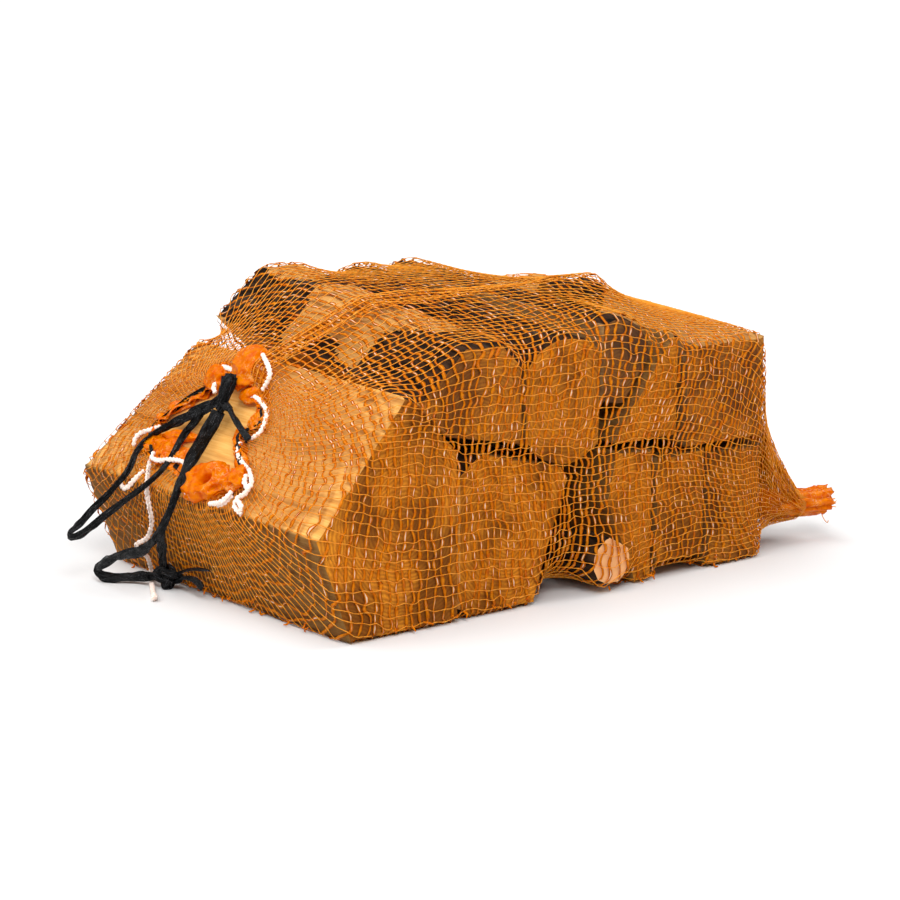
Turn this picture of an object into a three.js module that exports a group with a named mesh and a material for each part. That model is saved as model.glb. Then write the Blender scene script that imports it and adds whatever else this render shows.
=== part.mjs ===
// A knitted net sack of split stove logs, lying on its side, in millimetres with +Z up.
// The logs lie across the sack, along Y. The mouth is at -X, on a slanted log face,
// and is drawn shut by a black raffia string. The sewn end is a tail at +X.
import * as THREE from 'three';

// Driving sizes
const LOG_LENGTH = 250; // stove logs are sawn to a quarter of a metre
const NET_ROOM = 2; // the net's own thickness between a log and the sack's outside

// The net's grid: rows run round the girth, columns from the mouth to the tail
const ROWS = 66;
const COLUMNS = 84;
const MOUTH_ROWS = 16; // from the mouth's ring to the first upright row round the girth
const END_ROWS = 15; // from the last upright row to the tail's root
const TAIL_ROWS = 4; // along the tail
const MOUTH_REACH = { top: 22, back: 75, low: 140 }; // from the ring to the first upright row
const END_REACH = { near: 60, far: 250 }; // from the last upright row to the tail's root
const BODY_REACH = 290; // between the two
const GIRTH_PULL = 0.13; // how hard a row pulls itself together, beside a strand of 1 mm
const PULL_STEPS = 420; // rounds in which the net is drawn tight over the logs
const EDGE_ROUND = 3; // how round the net lies over a log's edges
const EDGE_SHARE = 0.3; // and at most this share of a thin log's radius

// Each log: the trunk's centre at the front end as [x, z], how far the back end lies from
// there, the trunk's radius, the splits as [direction in degrees, reach from the centre],
// and how much thicker the back end is. A chip as [height, slope] is a back end that leans
// forward above this height over the centre.
const LOGS = [
  // the low layer, from the mouth to the tail
  { front: [-130, 70], drift: [-7, 3], radius: 84, thicker: 1.03, ends: [-127, 137], chip: [-10, 0.45],
    splits: [[140.5, 48], [46, 57], [0, 42], [-90, 69], [200, 62]] },
  { front: [-48, 50], drift: [-2, 2], radius: 58, thicker: 1.03,
    splits: [[75, 48], [-20, 37], [180, 39], [-90, 49]] },
  { front: [31, 22], drift: [0, 0], radius: 17, thicker: 1, ends: [-134, 92],
    splits: [[60, 14], [-90, 16]] },
  { front: [56, 50], drift: [1, 2], radius: 62, thicker: 1.03,
    splits: [[85, 40], [0, 18], [-90, 49], [203, 17], [167, 24]] },
  { front: [99, 47], drift: [1, -8], radius: 47, thicker: 1.02,
    splits: [[93, 36], [0, 22], [180, 22], [-90, 37]] },
  { front: [149, 40], drift: [2, 1], radius: 58, thicker: 1.03, ends: [-124, 127],
    splits: [[90, 40], [0, 25], [180, 24], [-90, 39]] },
  // the upper layer, tipped up a little at the back
  { front: [-68, 126], drift: [15, 22], radius: 58, thicker: 1.04,
    splits: [[-101.5, 15], [0, 32], [45, 43], [90, 45], [131, 43], [226, 25]] },
  { front: [2, 128], drift: [13, 18], radius: 42, thicker: 1.04, ends: [-122, 124],
    splits: [[0, 28], [180, 35]] },
  { front: [48, 148], drift: [11, 12], radius: 29, thicker: 1, ends: [-118, 130],
    splits: [[-38, 22], [180, 14]] },
  { front: [78, 120], drift: [9, 9], radius: 45, thicker: 1, ends: [-123, 121],
    splits: [[142, 16], [0, 19], [-90, 26]] },
  { front: [136, 116], drift: [5, 16], radius: 58, thicker: 1,
    splits: [[90, 38], [0, 38], [180, 34], [-90, 31], [135, 45]] },
  // a short bark billet on top
  { front: [96, 170], drift: [8, 8], radius: 13, thicker: 1, ends: [-24, 70], splits: [] },
];

// The slanted log face under the mouth, and the mouth on it
const FACE_TILT = THREE.MathUtils.degToRad(50.5); // of the face from the floor
const MOUTH_CENTRE = new THREE.Vector3(-162, 38, 107);
// its drawn ring once round from the back, as offsets along Y and up the face
const MOUTH_RING = [
  [54, -12], [36, 12], [14, 28], [-8, 36], [-30, 31], [-44, 20], [-55, 8], [-40, -2],
  [-52, -14], [-66, -27], [-54, -41], [-32, -43], [-10, -38], [12, -33], [38, -31],
];
const HEM_WIDE = 9; // the ruffled hem inside the drawn ring
const HEM_LIFT = 5; // how far its ruffles stand off the log face
// where the hem is bunched up: the place on the ring in degrees, how much higher it stands
// there, and how little of the ring that takes up
const PUFFS = [
  { turn: 100, lift: 13, narrow: 60 }, // the high pouf at the top of the mouth
  { turn: 48, lift: 5, narrow: 60 },
  { turn: 350, lift: 5, narrow: 24 },
  { turn: 253, lift: 6, narrow: 60 },
  { turn: 222, lift: 4, narrow: 60 },
];

// The slack sack before it is drawn tight, as rounded boxes from the mouth to the tail, each
// with its share of the way. A box with square at 2 is a circle.
const SLACK_RINGS = [
  { share: 0.07, x: -222, y: 22, z: 95, wide: 95, high: 70, square: 2.5 },
  { share: 0.17, x: -228, y: 0, z: 100, wide: 138, high: 108, square: 4 },
  { share: 0.22, x: -200, y: 0, z: 100, wide: 142, high: 112, square: 6 },
  { share: 0.78, x: 176, y: 0, z: 100, wide: 142, high: 112, square: 6 },
  { share: 0.86, x: 200, y: -20, z: 90, wide: 130, high: 100, square: 4 },
  { share: 0.95, x: 206, y: -80, z: 60, wide: 50, high: 50, square: 2 },
];

// The tail: the sewn end of the net, gathered and pulled out past the logs
const TAIL_ROOT = new THREE.Vector3(219, -110, 29);
const TAIL_TIP = new THREE.Vector3(252, -109, 27);
const TAIL_RADIUS = 11;
const TAIL_FLARE = 3; // how much wider the sewn end of the tail is
const TAIL_FOLDS = 5;
const TAIL_FOLD_DEPTH = 1.5;
const TAIL_TWIST = 3; // how far the folds turn along the tail, in radians

// The drawstring and the edging yarn
const STRING_WIDE = 5;
const BUNCH_WIDE = 11;
const END_WIDE = 2.4; // a frayed end
const KNOT_SIZE = [14, 20, 14];
const KNOT_PLACE = [-190, 51, 7.3];
const KNOT_SIDES = [10, 7];
const YARN_WIDE = 3.2;
const CORD_SIDES = 8;
const CORD_STEP = 2.5; // steps along a cord, in its widths

// The cords' routes, chosen by hand: up on the slanted face, over its low edge and down
const BUNCH_ROUTE = [[-160, 18, 141], [-163, 16.5, 135.5], [-165, 17, 130.5], [-167.5, 17.5, 125.5]];
const LOOP_ROUTE = [
  [-168.5, 27.5, 123], [-170.5, 36.5, 119], [-173, 47, 114], [-177, 59, 107.5], [-182.5, 70, 101],
  [-188.5, 78.5, 93.5], [-195, 79, 87], [-202.5, 74, 79.5], [-210, 73, 72], [-217, 78.5, 62],
  [-225, 85, 52], [-232, 88.5, 43.5], [-238, 91.5, 37.5], [-240, 89.5, 34.5], [-237, 84, 36],
  [-232, 78, 41.5], [-225, 70.5, 50], [-219, 62.5, 57.5], [-213, 48.5, 68.5], [-206.5, 40, 77],
  [-197.5, 40, 84], [-190, 40.5, 91.5], [-183.5, 41.5, 100], [-179, 40.5, 106],
];
const LEG_ROUTE = [
  [-169, 18.5, 120.5], [-173, 18.5, 114], [-178.5, 19.5, 106], [-184, 19, 99], [-191, 16.5, 92.5],
  [-198, 14, 85.5], [-205.5, 9.5, 76.5], [-210, 11, 64.5], [-209, 20.5, 52], [-206, 30, 40.5],
  [-201, 39, 30], [-196, 46.5, 20.5], [-193.5, 49.5, 16],
];
const BOW_ROUTE = [
  [-212, 28.5, 40.5], [-212.5, 36.5, 35], [-213, 46, 29.5], [-215, 55.5, 26.5], [-216, 68.5, 22.5],
  [-217, 80, 17.5], [-218, 89, 12.5], [-218, 95, 8], [-217, 91.5, 5], [-212.5, 88, 3],
  [-206.5, 83.5, 3], [-202, 78.5, 4], [-199, 72, 5.5], [-197, 64, 6.5],
];
const TURN_ROUTE = [
  [-168, 7, 123.5], [-169.5, 0, 120], [-171, -7.5, 116.5], [-172, -15, 112.5], [-173, -22, 109],
];
const YARN_ROUTE = [
  [-191, 61.5, 89], [-195, 61.5, 84], [-199.5, 56.5, 79], [-204, 50.5, 73.5], [-206, 47.5, 67],
  [-206, 45.5, 59.5], [-204, 46.5, 51.5], [-202, 50, 43.5], [-202, 56, 35], [-204, 64.5, 30],
  [-204, 66.5, 27], [-199, 68, 22.5], [-193, 71.5, 17], [-190, 74, 12], [-188, 76, 7],
  [-188.5, 75.5, 2.5], [-195, 63.5, 2], [-204.5, 46, 2], [-213.5, 28.5, 2],
];
const FRAYED_ENDS = [
  [[-188, 41.5, 12], [-188, 29, 17], [-187.5, 16, 20], [-187, 4, 21.5]],
  [[-188, 40.5, 9], [-188, 29, 11.5], [-188, 19.5, 11.5], [-188.5, 10.5, 9.5]],
];

// Finishes
const ORANGE_NET = { color: 0xd9780a, roughness: 0.5, metalness: 0 };
const BLACK_RAFFIA = { color: 0x16161a, roughness: 0.45, metalness: 0 };
const WHITE_YARN = { color: 0xefe3da, roughness: 0.9, metalness: 0 };

const sloped = new THREE.Vector3(Math.cos(FACE_TILT), 0, Math.sin(FACE_TILT)); // up the face
const offFace = new THREE.Vector3(-Math.sin(FACE_TILT), 0, Math.cos(FACE_TILT)); // out of it
const across = new THREE.Vector3(0, 1, 0);
const turns = Array.from({ length: COLUMNS }, (_, j) => (2 * Math.PI * j) / COLUMNS);

// The logs with their splits as unit directions, ready for measuring
const logs = LOGS.map((log) => ({
  ...log,
  ends: log.ends ?? [-LOG_LENGTH / 2, LOG_LENGTH / 2],
  chip: log.chip ?? [0, 0],
  splits: log.splits.map(([degrees, reach]) => {
    const turn = THREE.MathUtils.degToRad(degrees);
    return { x: Math.cos(turn), z: Math.sin(turn), reach };
  }),
}));

// How far a point of the net has to move to be out of one log. Each face of the log counts as
// soon as the point is less than the edge's rounding under it, so the net goes round the edges.
function wayOut(log, p, room) {
  const share = p.y / LOG_LENGTH + 0.5;
  const size = 1 + (log.thicker - 1) * share;
  const dx = p.x - log.front[0] - log.drift[0] * share;
  const dz = p.z - log.front[1] - log.drift[1] * share;
  const away = Math.hypot(dx, dz);
  const back = log.ends[1] - log.chip[1] * Math.max(0, dz - log.chip[0]);
  const faces = [
    [away - log.radius * size, dx / away, 0, dz / away],
    ...log.splits.map((split) => [split.x * dx + split.z * dz - split.reach * size, split.x, 0, split.z]),
    [log.ends[0] - p.y, 0, -1, 0],
    [p.y - back, 0, 1, 0],
  ];
  const round = Math.min(EDGE_ROUND, EDGE_SHARE * log.radius);
  const way = new THREE.Vector3();
  for (const [over, x, y, z] of faces) {
    way.addScaledVector(new THREE.Vector3(x, y, z), Math.max(0, over + round));
  }
  const nearest = faces.reduce((a, b) => (b[0] > a[0] ? b : a));
  const depth = nearest[0] + round > 0 ? way.length() - round : nearest[0];
  if (depth >= room) return null;
  if (nearest[0] + round <= 0) way.set(...nearest.slice(1));
  return way.setLength(room - depth);
}

// Moves a point out of every log and up to the floor.
function pushOut(p) {
  for (const log of logs) {
    const out = wayOut(log, p, NET_ROOM);
    if (out) p.add(out);
  }
  p.z = Math.max(p.z, 0);
  return p;
}

// The drawn ring of the net at the mouth, on the slanted face: turn goes once round it.
const ringPoints = MOUTH_RING.map(([wide, high]) => new THREE.Vector3(wide, high, 0));
const ring = new THREE.CatmullRomCurve3(ringPoints, true, 'catmullrom');

function mouthPoint(turn, wider, lift) {
  const offset = ring.getPoint(turn / (2 * Math.PI));
  offset.setLength(offset.length() + wider);
  return MOUTH_CENTRE.clone().addScaledVector(across, offset.x)
    .addScaledVector(sloped, offset.y).addScaledVector(offFace, lift);
}

// A point of a slack ring: turn goes once round it.
function slackPoint(turn, { x, y, z, wide, high, square }) {
  const round = (value) => Math.sign(value) * Math.abs(value) ** (2 / square);
  return new THREE.Vector3(x, y + wide * round(Math.cos(turn)), z + high * round(Math.sin(turn)));
}

// One column of the slack sack, at a share of the way from the mouth to the tail's root.
function slackColumn(turn, share) {
  const rings = SLACK_RINGS.map((ring) => slackPoint(turn, ring));
  const stops = [mouthPoint(turn, 0, NET_ROOM), ...rings, tailPoint(turn, 0)];
  const shares = [0, ...SLACK_RINGS.map((ring) => ring.share), 1];
  let k = 0;
  while (k < shares.length - 2 && share > shares[k + 1]) k += 1;
  return stops[k].clone().lerp(stops[k + 1], (share - shares[k]) / (shares[k + 1] - shares[k]));
}

// The folded, gathered tail: share runs from its root to the sewn end.
function tailPoint(turn, share) {
  const folds = TAIL_FOLD_DEPTH * Math.sin(TAIL_FOLDS * turn + TAIL_TWIST * share) * share;
  const radius = TAIL_RADIUS + TAIL_FLARE * share ** 2 + folds;
  return TAIL_ROOT.clone().lerp(TAIL_TIP, share)
    .add(new THREE.Vector3(0, Math.cos(turn) * radius, Math.sin(turn) * radius));
}

// How far one row lies from the next along a column, when the net is drawn tight.
function rowStep(i, turn) {
  const [up, back] = [Math.max(0, Math.sin(turn)), Math.max(0, Math.cos(turn))];
  if (i < MOUTH_ROWS) {
    const side = MOUTH_REACH.low + (MOUTH_REACH.back - MOUTH_REACH.low) * back;
    return (side + (MOUTH_REACH.top - side) * up) / MOUTH_ROWS;
  }
  if (i >= ROWS - TAIL_ROWS - END_ROWS) {
    return (END_REACH.near + (END_REACH.far - END_REACH.near) * Math.max(up, back)) / END_ROWS;
  }
  return BODY_REACH / (ROWS - TAIL_ROWS - END_ROWS - MOUTH_ROWS);
}

// Draws the slack net tight over the logs and the floor; the mouth and the tail stay put.
function tightNet() {
  const freeRows = ROWS - TAIL_ROWS;
  let net = Array.from({ length: ROWS + 1 }, (_, i) => turns.map((turn) => (i <= freeRows
    ? slackColumn(turn, i / freeRows) : tailPoint(turn, (i - freeRows) / TAIL_ROWS))));
  for (let step = 0; step < PULL_STEPS; step += 1) {
    net = net.map((row, i) => (i === 0 || i >= freeRows ? row : row.map((_, j) => {
      const [before, after] = [1 / rowStep(i - 1, turns[j]), 1 / rowStep(i, turns[j])];
      const point = row[(j + 1) % COLUMNS].clone().add(row[(j + COLUMNS - 1) % COLUMNS])
        .multiplyScalar(GIRTH_PULL).addScaledVector(net[i - 1][j], before)
        .addScaledVector(net[i + 1][j], after).divideScalar(before + after + 2 * GIRTH_PULL);
      return pushOut(point);
    })));
  }
  return net;
}

// The ruffled hem: two rings inside the mouth, the crest of the ruffles and their foot.
function hemRings() {
  const lift = (at) => PUFFS.reduce((sum, { turn, lift, narrow }) => sum
    + lift * Math.max(0, Math.cos(at - THREE.MathUtils.degToRad(turn))) ** narrow, HEM_LIFT);
  const crest = turns.map((turn) => mouthPoint(turn, -HEM_WIDE / 3, lift(turn)));
  const foot = turns.map((turn) => mouthPoint(turn, -HEM_WIDE, NET_ROOM));
  return [foot, crest];
}

// A closed skin over rows of points, with a flat fan at each end. A field is split along its
// shorter diagonal.
function skin(rows) {
  const count = rows[0].length;
  const centre = (row) => row.reduce((sum, p) => sum.add(p), new THREE.Vector3()).divideScalar(count);
  const points = [...rows.flat(), centre(rows[0]), centre(rows.at(-1))];
  const [first, last] = [points.length - 2, points.length - 1];
  const faces = [];
  for (let j = 0; j < count; j += 1) {
    const next = (j + 1) % count;
    faces.push(first, next, j, last, (rows.length - 1) * count + j, (rows.length - 1) * count + next);
    for (let i = 0; i < rows.length - 1; i += 1) {
      const [a, b, c, d] = [i * count + j, i * count + next, (i + 1) * count + j, (i + 1) * count + next];
      const straight = points[a].distanceTo(points[d]) < points[b].distanceTo(points[c]);
      faces.push(...(straight ? [a, b, d, a, d, c] : [a, b, c, b, d, c]));
    }
  }
  const geometry = new THREE.BufferGeometry().setFromPoints(points);
  geometry.setIndex(faces);
  geometry.computeVertexNormals();
  return geometry;
}

// A round cord along a smooth curve through its route's points.
function cord(route, wide) {
  const curve = new THREE.CatmullRomCurve3(route.map((p) => new THREE.Vector3(...p)), false, 'centripetal');
  const section = new THREE.Shape(Array.from({ length: CORD_SIDES }, (_, k) => {
    const turn = (2 * Math.PI * k) / CORD_SIDES;
    return new THREE.Vector2(Math.cos(turn), Math.sin(turn)).multiplyScalar(wide / 2);
  }));
  const steps = Math.ceil(curve.getLength() / (CORD_STEP * wide));
  return new THREE.ExtrudeGeometry(section, { steps, extrudePath: curve });
}

// The knot below the bow: a lump.
function knot() {
  const geometry = new THREE.SphereGeometry(0.5, ...KNOT_SIDES);
  geometry.scale(...KNOT_SIZE);
  geometry.translate(...KNOT_PLACE);
  return geometry;
}

function piece(name, geometry, finish) {
  const mesh = new THREE.Mesh(geometry, new THREE.MeshStandardMaterial(finish));
  mesh.name = name;
  return mesh;
}

const netSkin = skin([...hemRings(), ...tightNet()]);
netSkin.computeBoundingBox();
const middle = netSkin.boundingBox.getCenter(new THREE.Vector3());

const sack = new THREE.Group();
sack.add(
  piece('filled_net', netSkin, ORANGE_NET),
  piece('drawstring_bunch', cord(BUNCH_ROUTE, BUNCH_WIDE), BLACK_RAFFIA),
  piece('drawstring_loop', cord(LOOP_ROUTE, STRING_WIDE), BLACK_RAFFIA),
  piece('drawstring_leg', cord(LEG_ROUTE, STRING_WIDE), BLACK_RAFFIA),
  piece('drawstring_bow', cord(BOW_ROUTE, STRING_WIDE), BLACK_RAFFIA),
  piece('drawstring_turn', cord(TURN_ROUTE, STRING_WIDE), BLACK_RAFFIA),
  piece('drawstring_knot', knot(), BLACK_RAFFIA),
  piece('edging_yarn', cord(YARN_ROUTE, YARN_WIDE), WHITE_YARN),
);
FRAYED_ENDS.forEach((route, k) => {
  sack.add(piece(`drawstring_end_${k + 1}`, cord(route, END_WIDE), BLACK_RAFFIA));
});
sack.position.set(-middle.x, -middle.y, 0); // the origin is under the middle of the sack

export default sack;
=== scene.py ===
"""Dresses a net sack of split firewood: the logs, the knitted net, its hem and tail, and the strings."""
import logging
from dataclasses import dataclass, field
from enum import Enum

import bmesh
import bpy
import numpy as np
from mathutils import Matrix, Vector


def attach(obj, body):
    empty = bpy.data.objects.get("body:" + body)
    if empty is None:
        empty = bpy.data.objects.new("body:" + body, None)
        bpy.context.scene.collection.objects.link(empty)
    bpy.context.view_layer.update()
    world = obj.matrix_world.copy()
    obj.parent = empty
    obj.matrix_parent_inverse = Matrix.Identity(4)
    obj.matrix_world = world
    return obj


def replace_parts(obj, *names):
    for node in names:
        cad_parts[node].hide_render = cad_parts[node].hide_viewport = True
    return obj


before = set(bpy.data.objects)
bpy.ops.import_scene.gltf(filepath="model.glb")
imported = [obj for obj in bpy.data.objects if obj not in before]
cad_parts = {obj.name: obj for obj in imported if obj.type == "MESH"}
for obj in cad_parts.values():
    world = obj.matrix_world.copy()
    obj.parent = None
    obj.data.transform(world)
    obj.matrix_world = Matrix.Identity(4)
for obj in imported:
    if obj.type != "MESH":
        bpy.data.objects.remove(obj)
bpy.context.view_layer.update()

BODY = "root"
reporter = logging.getLogger("net_sack")

# Sizes below are in millimetres, in the frame of the log table. Blender's are in metres.
MM = 0.001
SACK_MIDDLE = np.array([23.828, 1.5, 0.0])  # the point of the table that lies over the origin
LOG_LENGTH = 250.0
ON_SPLIT = 0.05  # a point of a plain log this near to a split's plane lies on it
SPLIT_FACE = 0.15  # and so does a face whose middle is this near
GRAIN_APART = 400.0  # how far one log lies from the next in the pattern of the grain
FLOOR_GAP = 0.4  # how high the lowest strands of the net lie
FACE_TILT = np.radians(50.5)  # of the log face under the mouth, from the floor
ACROSS = np.array([0.0, 1.0, 0.0])
UP_FACE = np.array([np.cos(FACE_TILT), 0.0, np.sin(FACE_TILT)])
OFF_FACE = np.array([-np.sin(FACE_TILT), 0.0, np.cos(FACE_TILT)])
MOUTH_CENTRE = np.array([-162.0, 38.0, 107.0])
FACE_GAP = 5.5  # from the mouth's centre out to the wood of the log face
FACE_LEAN = 0.035  # how much farther out the wood lies, for each millimetre along Y
FRONT = np.array([-0.6, -0.78, 0.2])  # the way the flat strings face


class Slot(Enum):
    """The record's material slots."""

    NET = "orange_net"
    RAFFIA = "black_raffia"
    YARN = "white_yarn"
    WOOD = "split_wood"


class Skin(Enum):
    """Which surface of a log a face belongs to, as the place of its material."""

    SPLIT = 0
    BARK = 1
    SAWN = 2


def to_row(points: np.ndarray) -> np.ndarray:
    """Turns table millimetres into the row's metres."""
    return (np.asarray(points, float) - SACK_MIDDLE) * MM


def on_face(places: np.ndarray) -> np.ndarray:
    """Turns offsets along Y, up the mouth's log face and off its wood into table millimetres."""
    places = np.asarray(places, float)
    along, up = places[..., :1], places[..., 1:2]
    lift = places[..., 2:] + FACE_GAP + FACE_LEAN * along
    return MOUTH_CENTRE + along * ACROSS + up * UP_FACE + lift * OFF_FACE


def linear(red: float, green: float, blue: float) -> tuple[float, float, float, float]:
    """Turns a screen colour of 0 to 255 into the shader's linear colour."""
    share = np.array([red, green, blue]) / 255.0
    value = np.where(share <= 0.04045, share / 12.92, ((share + 0.055) / 1.055) ** 2.4)
    return (*(float(v) for v in value), 1.0)


def level(share: float) -> tuple[float, float, float, float]:
    """Gives the grey of this share of white."""
    return (share, share, share, 1.0)


def unit(vectors: np.ndarray) -> np.ndarray:
    """Scales vectors along the last axis to length 1."""
    return vectors / np.maximum(np.linalg.norm(vectors, axis=-1, keepdims=True), 1e-9)


def cell_noise(cells: np.ndarray, seed: int) -> np.ndarray:
    """Gives a fixed random number from -1 to 1 for each whole-number cell.

    Args:
        cells: whole numbers, three along the last axis.
        seed: which of the random patterns to read.

    Returns:
        One number for each cell.
    """
    mixed = cells[..., 0] * 374761393 + cells[..., 1] * 668265263 + cells[..., 2] * 362437 + seed * 974634777
    mixed = (mixed ^ (mixed >> 13)) * 1274126177
    return ((mixed ^ (mixed >> 16)) & 0xFFFF) / 32767.5 - 1.0


def soft_noise(points: np.ndarray, seed: int) -> np.ndarray:
    """Gives smooth noise from about -1 to 1, with bumps one unit apart.

    Args:
        points: places to read, three numbers along the last axis.
        seed: which of the random patterns to read.

    Returns:
        One number for each place.
    """
    base = np.floor(points).astype(np.int64)
    part = points - base
    part = part * part * (3 - 2 * part)
    total = np.zeros(points.shape[:-1])
    for corner in np.ndindex(2, 2, 2):
        weight = np.prod(np.where(np.array(corner, bool), part, 1 - part), axis=-1)
        total += weight * cell_noise(base + np.array(corner), seed)
    return total


def read_curve(values: np.ndarray, places: np.ndarray, closed: bool = False) -> np.ndarray:
    """Reads a smooth curve through values at places between them.

    Args:
        values: points along the first axis.
        places: where to read, counted in points.
        closed: whether the last point is followed by the first.

    Returns:
        One point for each place.
    """
    count = len(values)
    low = np.floor(places).astype(int)
    if not closed:
        low = np.clip(low, 0, count - 2)
    part = (places - low).reshape(-1, *[1] * (values.ndim - 1))

    def at(step: int) -> np.ndarray:
        """The points that lie this many steps on."""
        return values[(low + step) % count] if closed else values[np.clip(low + step, 0, count - 1)]

    a, b, c, d = at(-1), at(0), at(1), at(2)
    return b + 0.5 * part * (c - a + part * (2 * a - 5 * b + 4 * c - d + part * (3 * (b - c) + d - a)))


def even_line(route: np.ndarray, step: float, closed: bool = False) -> np.ndarray:
    """Lays even points along a smooth curve through a route.

    Args:
        route: the route's points.
        step: how far apart the new points are.
        closed: whether the route ends where it starts.

    Returns:
        The new points, both ends included on an open route.
    """
    ends = len(route) if closed else len(route) - 1
    dense = read_curve(np.asarray(route, float), np.linspace(0, ends, ends * 40 + 1), closed)
    run = np.concatenate([[0.0], np.cumsum(np.linalg.norm(np.diff(dense, axis=0), axis=1))])
    count = max(3, int(round(run[-1] / step)))
    places = np.linspace(0, run[-1], count + 1)
    line = np.stack([np.interp(places, run, dense[:, k]) for k in range(3)], axis=1)
    return line[:-1] if closed else line


def carried_frame(line: np.ndarray, closed: bool = False) -> tuple[np.ndarray, np.ndarray]:
    """Carries two cross directions along a line without twisting them.

    Args:
        line: the line's points.
        closed: whether the line ends where it starts.

    Returns:
        The two directions at each point; the first crossed with the second points along the line.
    """
    ahead = np.roll(line, -1, axis=0) - np.roll(line, 1, axis=0) if closed else np.gradient(line, axis=0)
    along = unit(ahead)
    first = np.zeros_like(line)
    guess = np.cross([0.0, 0.0, 1.0], along[0])
    guess = guess if np.linalg.norm(guess) > 0.1 else np.cross([0.0, 1.0, 0.0], along[0])
    for k, way in enumerate(along):
        guess = guess - way * guess.dot(way)
        guess = guess / np.linalg.norm(guess)
        first[k] = guess
    return first, np.cross(along, first)


def sweep_faces(strands: int, steps: int, sides: int, closed: bool) -> list[np.ndarray]:
    """Lists the faces of many equal sweeps whose rings lie one after another.

    Args:
        strands: how many sweeps.
        steps: rings in each.
        sides: points in each ring.
        closed: whether the last ring is joined to the first, or both ends are capped.

    Returns:
        Arrays of point numbers, one array for each kind of face.
    """
    index = np.arange(strands * steps * sides).reshape(strands, steps, sides)
    here = index if closed else index[:, :-1]
    ahead = np.roll(index, -1, axis=1) if closed else index[:, 1:]
    corners = [here, np.roll(here, -1, axis=2), np.roll(ahead, -1, axis=2), ahead]
    faces = [np.stack(corners, axis=-1).reshape(-1, 4)]
    if not closed:
        faces += [index[:, 0, ::-1], index[:, -1]]
    return faces


def joined(parts: list[tuple[np.ndarray, list[np.ndarray]]]) -> tuple[np.ndarray, list[np.ndarray]]:
    """Joins meshes, each given as its points and its faces, into one."""
    points, faces, start = [], [], 0
    for part_points, part_faces in parts:
        points.append(part_points.reshape(-1, 3))
        faces += [face + start for face in part_faces]
        start += len(points[-1])
    return np.concatenate(points), faces


def mesh_piece(name: str, points: np.ndarray, faces: list[np.ndarray]) -> bpy.types.Object:
    """Makes a smooth mesh object from table millimetres.

    Args:
        name: the piece's name.
        points: its points.
        faces: arrays of point numbers, each of faces with the same number of corners.

    Returns:
        The object, linked to the scene.
    """
    corners = np.concatenate([part.ravel() for part in faces])
    sizes = np.concatenate([np.full(len(part), part.shape[1]) for part in faces])
    mesh = bpy.data.meshes.new(name)
    mesh.vertices.add(len(points))
    mesh.vertices.foreach_set("co", to_row(points).ravel())
    mesh.loops.add(len(corners))
    mesh.loops.foreach_set("vertex_index", corners)
    mesh.polygons.add(len(sizes))
    mesh.polygons.foreach_set("loop_start", np.concatenate([[0], np.cumsum(sizes)[:-1]]))
    mesh.polygons.foreach_set("use_smooth", np.ones(len(sizes), bool))
    mesh.update(calc_edges=True)
    piece = bpy.data.objects.new(name, mesh)
    bpy.context.scene.collection.objects.link(piece)
    return piece


def mark(piece: bpy.types.Object, name: str, values: np.ndarray) -> None:
    """Stores a number or a vector for each point of a piece, for its material to read."""
    kind = "FLOAT" if values.ndim == 1 else "FLOAT_VECTOR"
    key = "value" if values.ndim == 1 else "vector"
    layer = piece.data.attributes.new(name, kind, "POINT")
    layer.data.foreach_set(key, np.asarray(values, np.float32).ravel())


def dress(piece: bpy.types.Object, slot: Slot, *materials: bpy.types.Material) -> bpy.types.Object:
    """Gives a piece its materials and its body, and reports it.

    Args:
        piece: the piece, in its place.
        slot: the record's slot of its finish; not used.
        materials: its materials, in the order of the faces' material places.

    Returns:
        The same piece.
    """
    for material in materials:
        piece.data.materials.append(material)
    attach(piece, BODY)
    reporter.info("%s: %d faces", piece.name, len(piece.data.polygons))
    return piece


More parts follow.
